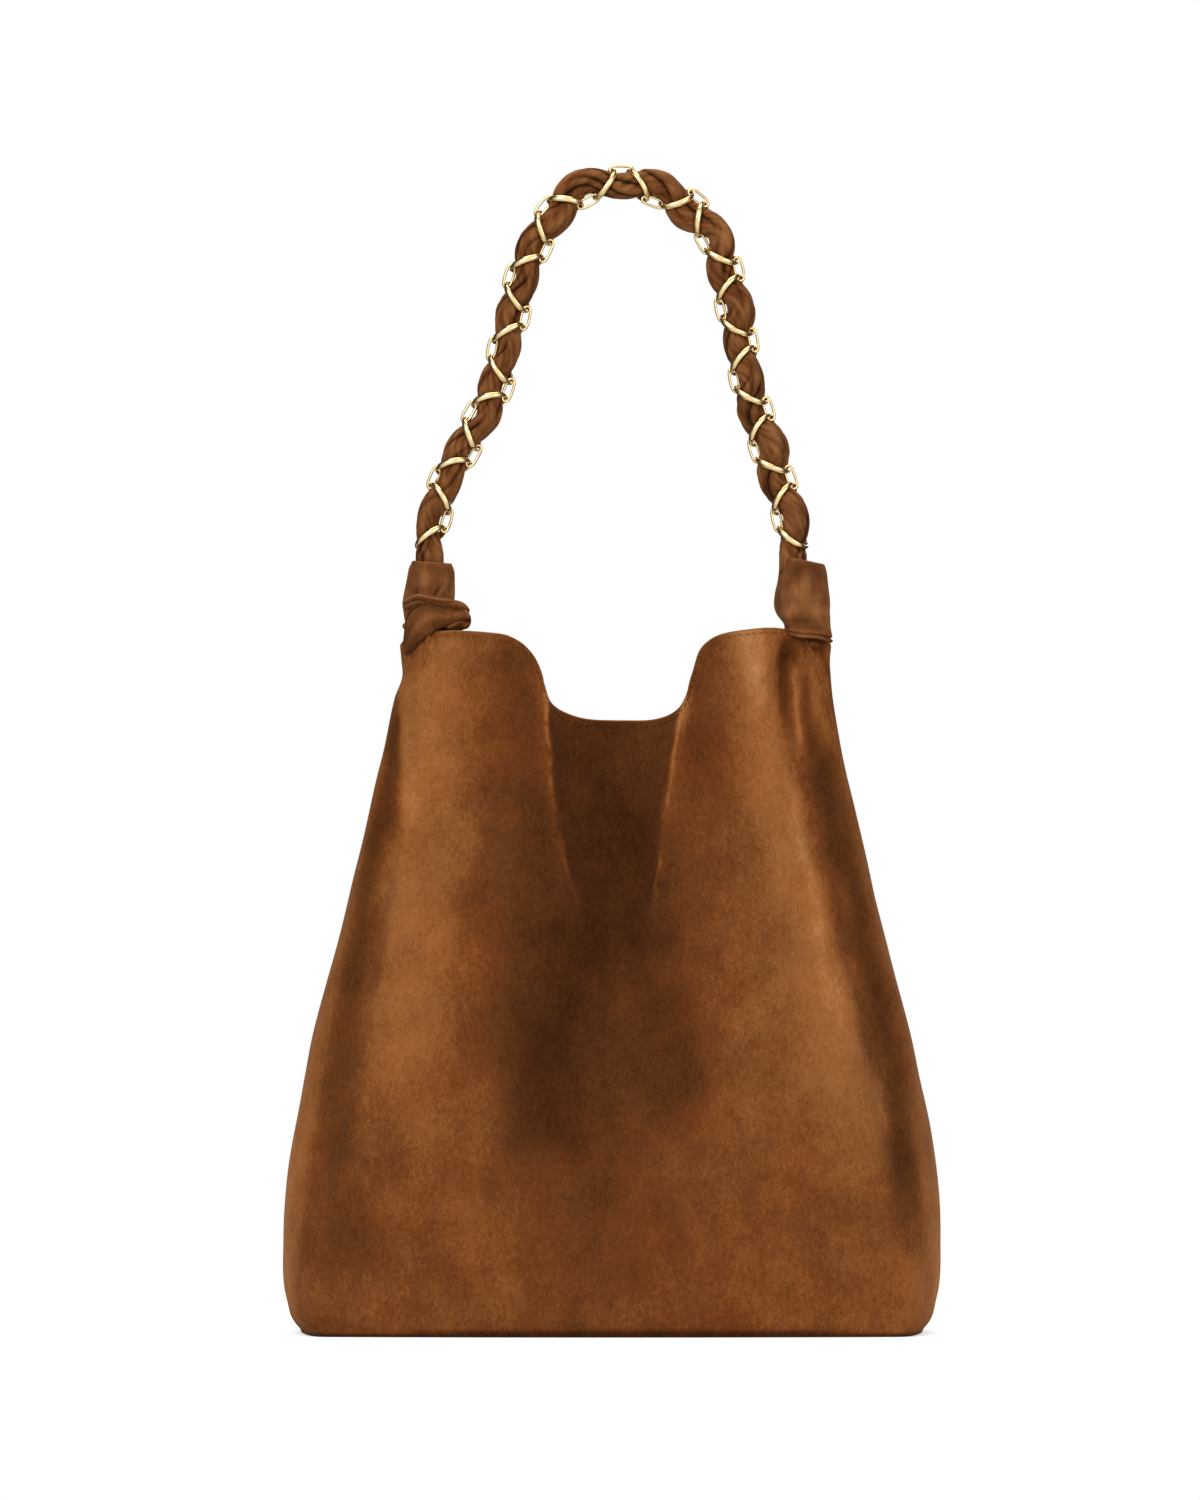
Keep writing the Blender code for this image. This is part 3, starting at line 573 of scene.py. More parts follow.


# Broad strokes of painted shade and light on the front: strength, soft ends below and above, then
# stops of height, across, reach to the left and reach to the right
paintedShadeStrokes = [
    # the pulled-in valley and the two shadows it spreads into
    (-0.45, 0.050, 0.060, [(0.185, -0.018, 0.022, 0.026), (0.235, -0.010, 0.020, 0.024),
                           (0.300, 0.000, 0.018, 0.020)]),
    (-0.92, 0.034, 0.110, [(0.084, -0.048, 0.014, 0.034), (0.120, -0.045, 0.016, 0.036),
                           (0.160, -0.037, 0.021, 0.036), (0.205, -0.030, 0.026, 0.038),
                           (0.250, -0.020, 0.032, 0.040), (0.300, -0.012, 0.035, 0.038),
                           (0.400, -0.004, 0.034, 0.036)]),
    (-0.60, 0.045, 0.050, [(0.105, 0.042, 0.030, 0.019), (0.155, 0.038, 0.028, 0.017),
                           (0.200, 0.030, 0.030, 0.021), (0.240, 0.016, 0.024, 0.024),
                           (0.320, 0.014, 0.020, 0.026)]),
    (-0.36, 0.055, 0.060, [(0.010, -0.002, 0.044, 0.036), (0.080, -0.006, 0.046, 0.040),
                           (0.130, -0.012, 0.050, 0.046), (0.220, 0.0, 0.056, 0.048)]),
    (-0.28, 0.060, 0.060, [(0.110, -0.060, 0.028, 0.036), (0.370, -0.050, 0.024, 0.030)]),
    # left fold, the lit edge of the panel and the swell beside it
    (-0.42, 0.050, 0.040, [(0.015, -0.152, 0.022, 0.014), (0.060, -0.156, 0.014, 0.014),
                           (0.110, -0.158, 0.011, 0.012), (0.160, -0.159, 0.009, 0.010),
                           (0.210, -0.151, 0.009, 0.009), (0.254, -0.146, 0.007, 0.008),
                           (0.283, -0.138, 0.006, 0.007), (0.306, -0.135, 0.005, 0.007),
                           (0.340, -0.128, 0.004, 0.004), (0.390, -0.1235, 0.003, 0.003)]),
    (-0.26, 0.040, 0.010, [(0.225, -0.148, 0.008, 0.007), (0.270, -0.142, 0.007, 0.007),
                           (0.306, -0.1345, 0.006, 0.007), (0.340, -0.1275, 0.005, 0.004),
                           (0.385, -0.1235, 0.003, 0.0025)]),
    (1.00, 0.120, 0.016, [(0.085, -0.140, 0.012, 0.030), (0.130, -0.138, 0.012, 0.026),
                          (0.210, -0.125, 0.011, 0.033), (0.265, -0.120, 0.012, 0.030),
                          (0.300, -0.115, 0.008, 0.028), (0.380, -0.106, 0.010, 0.027),
                          (0.414, -0.098, 0.010, 0.030)]),
    (1.00, 0.030, 0.008, [(0.280, -0.1200, 0.0040, 0.006), (0.320, -0.1212, 0.0024, 0.006),
                          (0.350, -0.1218, 0.0022, 0.005), (0.372, -0.1230, 0.0028, 0.005),
                          (0.384, -0.1240, 0.0040, 0.005), (0.400, -0.1220, 0.0040, 0.004)]),
    (0.22, 0.060, 0.080, [(0.030, -0.100, 0.034, 0.030), (0.250, -0.090, 0.026, 0.024)]),
    # right fold, its lit edge and the gathers under the sleeve
    (1.16, 0.110, 0.006, [(0.060, 0.156, 0.030, 0.006), (0.130, 0.152, 0.030, 0.006),
                          (0.160, 0.143, 0.030, 0.006), (0.200, 0.131, 0.031, 0.007),
                          (0.2245, 0.1235, 0.031, 0.007), (0.264, 0.115, 0.029, 0.006),
                          (0.300, 0.107, 0.026, 0.006), (0.341, 0.095, 0.024, 0.007),
                          (0.375, 0.088, 0.020, 0.008), (0.412, 0.084, 0.017, 0.010)]),
    (0.80, 0.050, 0.004, [(0.340, 0.0860, 0.009, 0.006), (0.375, 0.0845, 0.010, 0.006),
                          (0.412, 0.0820, 0.013, 0.010)]),
    (0.34, 0.050, 0.020, [(0.160, 0.1400, 0.006, 0.005), (0.195, 0.1283, 0.006, 0.005),
                          (0.2245, 0.1213, 0.006, 0.004), (0.254, 0.1166, 0.006, 0.004),
                          (0.277, 0.1130, 0.005, 0.003), (0.300, 0.1085, 0.005, 0.003),
                          (0.340, 0.1073, 0.004, 0.002)]),
    (0.24, 0.060, 0.060, [(0.060, 0.090, 0.030, 0.040), (0.140, 0.082, 0.026, 0.040),
                          (0.240, 0.080, 0.020, 0.030)]),
    (-0.72, 0.050, 0.040, [(0.055, 0.170, 0.010, 0.008), (0.090, 0.170, 0.010, 0.009),
                           (0.126, 0.167, 0.009, 0.011), (0.160, 0.1660, 0.008, 0.011),
                           (0.195, 0.1555, 0.008, 0.011),
                           (0.2245, 0.1440, 0.007, 0.010), (0.254, 0.1422, 0.008, 0.009),
                           (0.277, 0.1340, 0.007, 0.009), (0.303, 0.1260, 0.007, 0.009),
                           (0.330, 0.1205, 0.006, 0.007), (0.365, 0.1165, 0.004, 0.005)]),
    (-0.42, 0.030, 0.006, [(0.340, 0.1020, 0.0060, 0.0050), (0.380, 0.1000, 0.0060, 0.0050),
                           (0.408, 0.1030, 0.0060, 0.0080)]),
    (-0.50, 0.030, 0.006, [(0.335, 0.0990, 0.0030, 0.0050), (0.360, 0.0985, 0.0024, 0.0040),
                           (0.376, 0.0985, 0.0022, 0.0040), (0.406, 0.1010, 0.0020, 0.0040)]),
    (0.95, 0.030, 0.010, [(0.325, 0.1100, 0.0026, 0.0022), (0.360, 0.1078, 0.0016, 0.0018),
                          (0.392, 0.1068, 0.0014, 0.0018)]),
    (-0.50, 0.020, 0.010, [(0.330, 0.1165, 0.0030, 0.0030), (0.350, 0.1140, 0.0030, 0.0030),
                           (0.384, 0.1140, 0.0025, 0.0030)]),
    (0.60, 0.030, 0.015, [(0.330, 0.1285, 0.0040, 0.0040), (0.360, 0.1225, 0.0040, 0.0040),
                          (0.388, 0.1185, 0.0045, 0.0040), (0.407, 0.1150, 0.0030, 0.0030)]),
    (-0.75, 0.030, 0.004, [(0.340, 0.1370, 0.0030, 0.008), (0.380, 0.1285, 0.0030, 0.008),
                           (0.392, 0.1235, 0.0034, 0.008), (0.408, 0.1190, 0.004, 0.008)]),
    # painted highlights on the creased corner at the right end of the dip and low on the left pleat
    (0.85, 0.012, 0.006, [(0.345, 0.0360, 0.0016, 0.0050), (0.358, 0.0405, 0.0024, 0.0034),
                          (0.376, 0.0455, 0.0020, 0.0016)]),
    (0.40, 0.010, 0.010, [(0.246, -0.0165, 0.0030, 0.0030), (0.268, -0.0215, 0.0030, 0.0036)]),
    # shaded flanks of the dip, light low on the right and the dark corner beside the left knot
    (-0.44, 0.030, 0.020, [(0.330, -0.050, 0.024, 0.010), (0.365, -0.050, 0.026, 0.008),
                           (0.407, -0.060, 0.020, 0.012)]),
    (-0.34, 0.030, 0.020, [(0.300, 0.048, 0.012, 0.016), (0.360, 0.050, 0.008, 0.016),
                           (0.407, 0.058, 0.010, 0.012)]),
    (0.16, 0.020, 0.020, [(-0.01, 0.130, 0.050, 0.050), (0.040, 0.130, 0.050, 0.050),
                          (0.075, 0.130, 0.050, 0.050)]),
    (-0.45, 0.014, 0.004, [(0.394, -0.1190, 0.0050, 0.0050), (0.414, -0.1130, 0.0050, 0.0040)]),
    # light low on the left and at the right corner of the base
    (0.28, 0.015, 0.030, [(-0.015, -0.105, 0.050, 0.050), (0.050, -0.105, 0.050, 0.050)]),
    (0.55, 0.015, 0.030, [(-0.015, 0.180, 0.022, 0.020), (0.055, 0.180, 0.020, 0.020)]),
]


# strengths of the painted shade and light over the shell
shadeLook = {
    "wanderSeeds": (2.0, 31.0), "wanderAcross": 0.0028, "wanderUp": 0.0065, "pleatWander": 0.0020,
    "turn": 0.012,               # depth over which the sides give way to the front or back
    "backShare": 0.5,            # the back repeats the strokes, mirrored and fainter
    "valley": 0.52,
    "crest": 0.85, "crestHaze": 0.26, "crestShadow": 0.30, "crestPale": 0.15, "crestLean": 0.0006,
    "side": 0.08, "sideFold": 0.45, "swell": 0.45, "lowSwell": 0.40, "outline": 0.42,
    "foot": 0.20, "ground": 1.1,
    "highlightPale": 0.40,                 # how pale the brightest painted light turns
}


def stroke(x, z, below, above, stops):
    heights = [stop[0] for stop in stops]
    middle, toLeft, toRight = throughColumns(heights, [stop[1:] for stop in stops], z)
    gap = x - middle
    shape = np.where(gap < 0, bell(gap, toLeft), bell(gap, toRight))
    return shape * ease((z - heights[0]) / below) * ease((heights[-1] - z) / above)


def paintedShellShade(sheet):
    # painted shade and light over the shell, with edges that wander as brushed suede does, and a little
    # random tone
    x, y, z = sheet[:, :, 0], sheet[:, :, 1], sheet[:, :, 2]
    wander = [noiseField(x, y, z, 26.0, seed) + 0.55 * noiseField(x, y, z, 75.0, seed + 5.0)
              for seed in shadeLook["wanderSeeds"]]
    wx = x + shadeLook["wanderAcross"] * wander[0]
    wz = z + shadeLook["wanderUp"] * wander[1]
    front = ease(-y / shadeLook["turn"])
    back = ease(y / shadeLook["turn"])
    left = through(pleatLeft, z) + shadeLook["pleatWander"] * wander[1]
    right = through(pleatRight, z) + shadeLook["pleatWander"] * wander[0]
    ragged = noiseField(x, y, z, 210.0, 12.0)
    shade = np.zeros_like(x)
    for strength, below, above, stops in paintedShadeStrokes:
        shade += strength * front * stroke(wx, wz, below, above, stops)
        shade += shadeLook["backShare"] * strength * back * stroke(-wx, wz, below, above, stops)
    # painted shade in the valley between the pleats
    between = ease((wx - left) / 0.012) * ease((right - wx) / 0.012)
    shade -= front * shadeLook["valley"] * between * ease((wz - 0.215) / 0.07)
    # painted highlights as broken lines along the two pleats, with a lit haze on one side and painted shadow
    # on the other
    paintedHighlight = np.zeros_like(x)
    start = ease((z - 0.225) / 0.06)
    crest = front * start * np.clip(0.80 + 1.3 * wander[0] + 1.1 * ragged, 0.0, 1.9)
    for line, lean in ((left, -shadeLook["crestLean"]), (right, shadeLook["crestLean"])):
        thin = crest * bell(x - line - lean, 0.0012)
        shade += shadeLook["crest"] * thin
        shade += shadeLook["crestHaze"] * front * start * bell(x - line - 4.0 * lean, 0.0038)
        shade -= shadeLook["crestShadow"] * crest * bell(x - line + 4.0 * lean, 0.0035)
        paintedHighlight += shadeLook["crestPale"] * thin * ease((z - 0.27) / 0.05)
    # painted shade in the side folds, painted light on the swell of the gussets and along the outline
    past = np.abs(x) - seamHalfWidth(z)
    shade -= shadeLook["side"] * ease((past - 0.002) / 0.010) * ease((z - 0.05) / 0.10)
    shade -= shadeLook["sideFold"] * (1 - front) * bell(past, 0.010) * ease((z - 0.02) / 0.06)
    low = 1 - ease((z - 0.08) / 0.10)
    shade += (shadeLook["swell"] + shadeLook["lowSwell"] * low) * ease((past - 0.005) / 0.012) * ease(z / 0.02)
    edge = bell(np.abs(x).max(axis=1, keepdims=True) - np.abs(x), 0.007)
    shade += shadeLook["outline"] * edge * ease(z / 0.02) * (1 - ease((z - 0.395) / 0.015))
    # painted shade at the foot, darkest in the middle where it meets the floor
    shade -= shadeLook["foot"] * (1 - ease(z / 0.012))
    ground = 1 - ease((z - body["floor"]) / 0.0022)
    shade -= shadeLook["ground"] * ground * (1 - ease((np.abs(x - 0.01) - 0.085) / 0.060))
    # the brightest painted light goes on to a pale painted highlight
    paintedHighlight += shadeLook["highlightPale"] * ease((shade - 0.95) / 0.9)
    return 0.95 * np.tanh(shade) + paintedHighlight + 0.04 * wander[1] + 0.03 * wander[0]


def buildBody():
    sheet = bodySheet()
    near = roundCorners(sheet)
    seamGrooves(sheet, near)
    slackRipples(sheet)
    rows, columns = sheet.shape[:2]
    shade = paintedShellShade(sheet)
    normals = outwardNormals(sheet)
    normals[:, :, 2] *= 0.3
    normals /= np.linalg.norm(normals, axis=-1, keepdims=True)
    thick = body["thickness"]
    middle = sheet[-1] - normals[-1] * thick / 2
    layers = []
    # underside, from the middle of the base out to the wall
    foot = sheet[0]
    for inset, height in ((0.0100, 0.0000), (0.0030, 0.0000), (0.0010, 0.0008)):
        ring = foot - normals[0] * inset
        ring[:, 2] = height
        layers.append(ring)
    layers.extend(sheet)
    # rolled edge of the rim and the facing behind it
    for turn in (45, 90, 135):
        angle = math.radians(turn)
        ring = middle + normals[-1] * (thick / 2 * math.cos(angle))
        ring[:, 2] = sheet[-1][:, 2] + thick / 2 * math.sin(angle)
        layers.append(ring)
    drop = int(rows * body["facingDrop"] / body["rimHeight"])
    for row in range(rows - 1, rows - drop, -2):
        layers.append(sheet[row] - normals[row] * thick)
    verts = np.concatenate(layers)
    faces = gridFaces(len(layers), columns)
    faces.append(tuple(range(columns))[::-1])
    piece = newPiece("bodyShell", verts, faces, bodySuede)
    extra = len(layers) - 3 - rows
    # painted shade and light: the underside, the shell's strokes, the rolled rim, then the facing
    tones = np.concatenate([np.full((3, columns), body["underShade"]), shade,
                            np.full((3, columns), body["rimHighlight"]),
                            np.full((extra - 3, columns), body["facingShade"])])
    paintShade(piece, tones)
    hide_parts("front_panel", "back_panel", "left_gusset", "right_gusset", "base_panel")
    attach(piece, "bag")
    return sheet, normals


bodySheetPoints, bodySheetNormals = buildBody()
print("body shell done")


# Lining: a woven inner bag that hangs inside the suede

liningLook = {
    "inset": 0.0036, "topDrop": 0.034, "floor": 0.0056, "lip": 0.0012,
    "tone": (0.20, 0.092, 0.040, 1.0),
}


def clothMaterial(name, tone):
    material, tree, shader = newMaterial(name)
    coords = nodeAt(tree, "ShaderNodeTexCoord", -900, 0).outputs["Object"]
    warp = nodeAt(tree, "ShaderNodeTexWave", -600, 150, bands_direction="X")
    weft = nodeAt(tree, "ShaderNodeTexWave", -600, -150, bands_direction="Z")
    for wave in (warp, weft):
        setInputs(wave, Scale=420.0, Distortion=0.6, Detail=1.0)
        tree.links.new(coords, wave.inputs["Vector"])
    weave = maths(tree, -400, 0, "MULTIPLY", warp.outputs["Fac"], weft.outputs["Fac"])
    patches = noiseAt(tree, -600, -350, coords, 30.0)
    shadeMix = maths(tree, -400, -250, "MULTIPLY_ADD", patches, 0.5, 0.2)
    dark = tuple(part * 0.55 for part in tone[:3]) + (1.0,)
    tree.links.new(mixColour(tree, -200, 0, shadeMix, tone, dark), shader.inputs["Base Color"])
    relief = setInputs(nodeAt(tree, "ShaderNodeBump", -200, -300), Strength=0.4, Distance=0.0004)
    tree.links.new(weave, relief.inputs["Height"])
    tree.links.new(relief.outputs["Normal"], shader.inputs["Normal"])
    shader.inputs["Roughness"].default_value = 0.85
    shader.inputs["Specular IOR Level"].default_value = 0.12
    return material


def buildLining():
    rows = bodySheetPoints.shape[0]
    last = rows - int(rows * liningLook["topDrop"] / body["rimHeight"])
    picked = list(range(4, last, 6)) + [last]
    layers = []
    for row in picked:
        ring = bodySheetPoints[row][::2] - bodySheetNormals[row][::2] * liningLook["inset"]
        ring[:, 2] = np.maximum(ring[:, 2], liningLook["floor"])
        layers.append(ring)
    layers.append(layers[-1] + bodySheetNormals[last][::2] * liningLook["lip"])
    columns = layers[0].shape[0]
    faces = [face[::-1] for face in gridFaces(len(layers), columns)]
    faces.append(tuple(range(columns)))
    cloth = clothMaterial("liningCloth", liningLook["tone"])
    piece = newPiece("liningBag", np.concatenate(layers), faces, cloth)
    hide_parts("lining")
    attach(piece, "bag")


buildLining()
print("lining done")


# Stitching along both rims

stitch = {
    "below": 0.0034, "length": 0.0027, "pitch": 0.0039, "radius": 0.00027,
    "tone": (0.150, 0.062, 0.020, 1.0), "dipShadeTone": (0.050, 0.018, 0.0055, 1.0),
    "dipBelow": 0.385,           # thread under this height lies in the shaded dip and takes the darker copy, painted shade
    "sides": 6,
    "profile": ((0.0, 0.35), (0.12, 0.9), (0.5, 1.05), (0.88, 0.9), (1.0, 0.35)),   # place along, size
}


def threadMaterial(name, tone):
    material, tree, shader = newMaterial(name)
    coords = nodeAt(tree, "ShaderNodeTexCoord", -700, 0).outputs["Object"]
    twist = noiseAt(tree, -500, 0, coords, 900.0, 2.0)
    light = tuple(part * 1.9 for part in tone[:3]) + (1.0,)
    tree.links.new(mixColour(tree, -250, 0, twist, tone, light), shader.inputs["Base Color"])
    shader.inputs["Roughness"].default_value = 0.75
    shader.inputs["Specular IOR Level"].default_value = 0.1
    return material


def capsule(start, end, normal):
    along = end - start
    length = np.linalg.norm(along)
    along = along / length
    side = np.cross(along, normal)
    radius, sides = stitch["radius"], stitch["sides"]
    rings = []
    for share, size in stitch["profile"]:
        centre = start + along * length * share + normal * radius * (0.7 * math.sin(math.pi * share) - 0.1)
        for step in range(sides):
            angle = 2 * math.pi * step / sides
            rings.append(centre + radius * size * (math.cos(angle) * side + math.sin(angle) * normal))
    return rings


def buildStitches():
    faceCount, sideCount = body["faceColumns"], body["sideColumns"]
    thread = threadMaterial("rimThread", stitch["tone"])
    # a darker copy of the thread, painted shade for the stitches in the dip
    dipShadeThread = threadMaterial("dipShadeThread", stitch["dipShadeTone"])
    for name, first in (("frontStitches", 0), ("backStitches", faceCount + sideCount)):
        span = np.arange(first + 2, first + faceCount - 2)
        line, lift = [], []
        for column in span:
            heights = bodySheetPoints[:, column, 2]
            target = heights[-1] - stitch["below"]
            row = int(np.clip(np.searchsorted(heights, target), 1, len(heights) - 1))
            line.append(bodySheetPoints[row, column])
            lift.append(bodySheetNormals[row, column])
        line, lift = np.array(line), np.array(lift)
        run = runAlong(line)
        verts, faces = [], []
        for start in np.arange(0.004, run[-1] - 0.006, stitch["pitch"]):
            ends = pointsAt([start, start + stitch["length"]], run, line)
            normal = pointsAt(start, run, lift)
            normal /= np.linalg.norm(normal)
            faces.extend(tubeFaces(len(stitch["profile"]), stitch["sides"], len(verts)))
            verts.extend(capsule(ends[0], ends[1], normal))
        piece = newPiece(name, verts, faces, thread)
        piece.data.materials.append(dipShadeThread)
        for polygon in piece.data.polygons:
            polygon.material_index = 1 if polygon.center.z < stitch["dipBelow"] else 0
        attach(piece, "bag")


buildStitches()
print("stitching done")


# Chain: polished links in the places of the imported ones

chain = {
    "linkSegments": 64, "wireSides": 16,
    "linkWire": 0.0015, "joinWire": 0.0008,
    "barSwell": 0.36,            # the long bars are flatter and wider than the link ends
    "tilt": 0.43,                # radians a large link leans round its long axis, so that its front arcs
    "tiltSpread": (0.6, 1.15),
    "endShare": 0.70,            # a large link is finer at its ends, where the joining links hold it
    "joinSlim": 0.80,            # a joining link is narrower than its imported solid
    "oval": 2.0, "joinOval": 2.6,    # 2 is an ellipse, and more is squarer
    "tone": (0.87, 0.67, 0.36, 1.0), "shadeTone": (0.80, 0.57, 0.26, 1.0),
}


def goldMaterial(name):
    material, tree, shader = newMaterial(name)
    coords = nodeAt(tree, "ShaderNodeTexCoord", -900, 0).outputs["Object"]
    patina = noiseAt(tree, -600, 150, coords, 60.0, 2.0, 0.5)
    scuffs = noiseAt(tree, -600, -150, coords, 500.0, 2.0, 0.5)
    colour = mixColour(tree, -300, 150, patina, chain["tone"], chain["shadeTone"])
    tree.links.new(colour, shader.inputs["Base Color"])
    rough = maths(tree, -300, -100, "MULTIPLY_ADD", scuffs, 0.06, 0.10)
    tree.links.new(rough, shader.inputs["Roughness"])
    shader.inputs["Metallic"].default_value = 1.0
    return material


gold = goldMaterial("chainGold")


def linkFrame(node):
    # centre and axes of a packed link, longest axis first
    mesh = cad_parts[node].data
    points = np.empty(len(mesh.vertices) * 3)
    mesh.vertices.foreach_get("co", points)
    points = np.unique(points.reshape(-1, 3).round(6), axis=0)
    centre = (points.max(axis=0) + points.min(axis=0)) / 2
    axes = np.linalg.svd(points - points.mean(axis=0))[2]
    spread = (points - centre) @ axes.T
    half = (spread.max(axis=0) - spread.min(axis=0)) / 2
    return points.mean(axis=0), axes, half


def sweepLoop(path, thick, wide, sides):
    # closed wire along a loop of points: thick towards the middle of the loop, wide across its plane
    count = len(path)
    tangent = np.roll(path, -1, axis=0) - np.roll(path, 1, axis=0)
    tangent /= np.linalg.norm(tangent, axis=1, keepdims=True)
    middle = path.mean(axis=0)
    plane = np.cross(path[0] - middle, path[count // 4] - middle)
    plane /= np.linalg.norm(plane)
    outward = np.cross(tangent, plane)
    angle = np.linspace(0, 2 * np.pi, sides, endpoint=False)
    ring = (np.cos(angle)[None, :, None] * outward[:, None, :] * thick[:, None, None]
            + np.sin(angle)[None, :, None] * plane[None, None, :] * wide[:, None, None])
    return (path[:, None, :] + ring).reshape(-1, 3)


def buildLink(node, wire, power, tilt=0.0, swell=0.0, endShare=1.0, slim=1.0):
    centre, axes, half = linkFrame(node)
    count, sides = chain["linkSegments"], chain["wireSides"]
    angle = np.linspace(0, 2 * np.pi, count * 4, endpoint=False)
    length, width = half[0] - wire, (half[1] - wire) * slim
    across = axes[1] * np.sign(axes[1][1]) if abs(axes[1][1]) > 0.5 else axes[1]
    normal = np.cross(axes[0], across)
    across = across * math.cos(tilt) + normal * math.sin(tilt)
    c, s = np.cos(angle), np.sin(angle)
    x = np.sign(c) * np.abs(c) ** (2 / power) * length
    y = np.sign(s) * np.abs(s) ** (2 / power) * width
    path = centre + x[:, None] * axes[0] + y[:, None] * across
    looped = np.vstack([path, path[:1]])
    run = runAlong(looped)
    path = pointsAt(np.linspace(0, run[-1], count, endpoint=False), run, looped)
    around = np.arctan2((path - centre) @ across, (path - centre) @ axes[0])
    bar = ease(np.abs(np.sin(around)) * 1.7 - 0.25)
    thick = wire * (endShare + (1.0 - endShare) * bar)
    wide = thick * (1.0 + swell * bar)
    verts = sweepLoop(path, thick, wide, sides)
    piece = newPiece(node + "_gold", verts, gridFaces(count, sides, looped=True), gold)
    faceOutward(piece)
    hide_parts(node)
    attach(piece, "strap")
    return centre, path, wide


bigLinks, smallLinks = [], []
for node in sorted(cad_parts):
    if node.startswith("chain_link_"):
        lean = chain["tilt"] * (1 if len(bigLinks) % 2 else -1) * random.uniform(*chain["tiltSpread"])
        bigLinks.append(buildLink(node, chain["linkWire"], chain["oval"], lean, chain["barSwell"],
                                  chain["endShare"]))
    if node.startswith("joining_link_"):
        smallLinks.append(buildLink(node, chain["joinWire"], chain["joinOval"], slim=chain["joinSlim"]))
print("chain done:", len(bigLinks), "links and", len(smallLinks), "joining links")


# Strap: a soft tube of gathered suede that snakes through the chain

strap = {
    "foot": 0.1062, "footHeight": 0.4526, "rise": 0.217,
    "snake": 0.0029,             # sideways sway away from the joining links
    "uneven": 0.9,               # how much the sway differs from link to link
    "slim": 0.11,                # the left run is drawn thinner than the right
    "slimPlace": 0.22, "slimReach": 0.20,    # where along the strap, as shares of its length
    "radius": 0.0079,
    "sink": 0.0088,              # how far the ends carry on down into the sleeves
    "clear": 0.00012,            # air left between suede and wire
    "rings": 520, "sides": 60, "routeSteps": 40,
    "creases": 7, "creaseDepth": 0.0015, "creaseWidth": 0.13, "turn": 0.12,
    "lumps": 0.0025, "crumple": 0.0007,
    "rayReach": (0.0028, 0.0108, 0.0002),    # where the search for wire starts and stops, and its step
    "wireReach": 0.0125,         # wire farther out than this is left out of the search
    "pinchDepth": 0.0022,        # suede pressed in this far takes the full painted shade of a pinch
    # painted shade and light: a base level, light on the lumps, shade in the crumples, creases and pinches
    "shade": {"middle": 0.36, "lumps": 0.55, "crumple": -0.75, "crease": -1.70, "pinch": -0.34},
    "route": [(-1.00, 0.00), (-0.98, 0.10), (-0.86, 0.25), (-0.64, 0.45), (-0.53, 0.68), (-0.40, 0.86),
              (-0.18, 0.98), (0.05, 1.00), (0.32, 0.97), (0.56, 0.86), (0.67, 0.66), (0.76, 0.44),
              (0.88, 0.25), (0.98, 0.10), (1.00, 0.00)],
}


def routeSamples():
    stops = np.array([(x * strap["foot"], strap["footHeight"] + z * strap["rise"])
                      for x, z in strap["route"]])
    padded = np.vstack([stops[:1], stops, stops[-1:]])
    samples = []
    for index in range(len(stops) - 1):
        a, b, c, d = padded[index:index + 4]
        for t in np.arange(strap["routeSteps"]) / strap["routeSteps"]:
            samples.append(0.5 * (2 * b + (c - a) * t + (2 * a - 5 * b + 4 * c - d) * t**2
                                  + (3 * b - a - 3 * c + d) * t**3))
    samples.append(stops[-1])
    return np.array(samples)


def strapPath():
    samples = routeSamples()
    run = runAlong(samples)
    along = np.linspace(0, run[-1], strap["rings"])
    path = pointsAt(along, run, samples)
    direction = np.gradient(path, axis=0)
    direction /= np.linalg.norm(direction, axis=1, keepdims=True)
    beside = np.stack([direction[:, 1], -direction[:, 0]], axis=1)
    return along, path, beside


def nearestAlong(point, along, path):
    index = np.argmin(np.hypot(path[:, 0] - point[0], path[:, 1] - point[2]))
    return along[index], index


def swayedPath():
    along, path, beside = strapPath()
    stops = [(0.0, 0.0)]
    for link in smallLinks:
        at, index = nearestAlong(link[0], along, path)
        side = np.sign(np.dot(link[0][[0, 2]] - path[index], beside[index]))
        lively = 0.75 + 0.45 * at / along[-1] + strap["uneven"] * noise.noise(Vector((at * 41.0, 3.3, 0.0)))
        stops.append((at, -side * strap["snake"] * lively))
    stops.append((along[-1], 0.0))
    places = np.array([stop[0] for stop in stops])
    values = np.array([stop[1] for stop in stops])
    index = np.clip(np.searchsorted(places, along) - 1, 0, len(places) - 2)
    share = (along - places[index]) / (places[index + 1] - places[index])
    offset = values[index] + (values[index + 1] - values[index]) * (1 - np.cos(np.pi * share)) / 2
    middle = path + beside * offset[:, None]
    return along, np.stack([middle[:, 0], np.zeros(len(middle)), middle[:, 1]], axis=1)


def roomInside(middle, rays):
    # how far each ray from the middle of the tube runs before it meets a wire
    wirePoints = np.concatenate([link[1] for link in bigLinks + smallLinks])
    wireSize = np.concatenate([link[2] for link in bigLinks + smallLinks])
    steps = np.arange(*strap["rayReach"])
    room = np.full(rays.shape[:2], steps[-1])
    for row in range(len(middle)):
        close = np.linalg.norm(wirePoints - middle[row], axis=1) < strap["wireReach"]
        if not close.any():
            continue
        spots = middle[row] + rays[row][:, None, :] * steps[None, :, None]
        gap = np.linalg.norm(spots[:, :, None, :] - wirePoints[close][None, None], axis=-1)
        hit = (gap - wireSize[close]).min(axis=2) < strap["clear"]
        first = np.where(hit.any(axis=1), hit.argmax(axis=1), len(steps) - 1)
        room[row] = steps[np.maximum(first - 1, 0)]
    return room


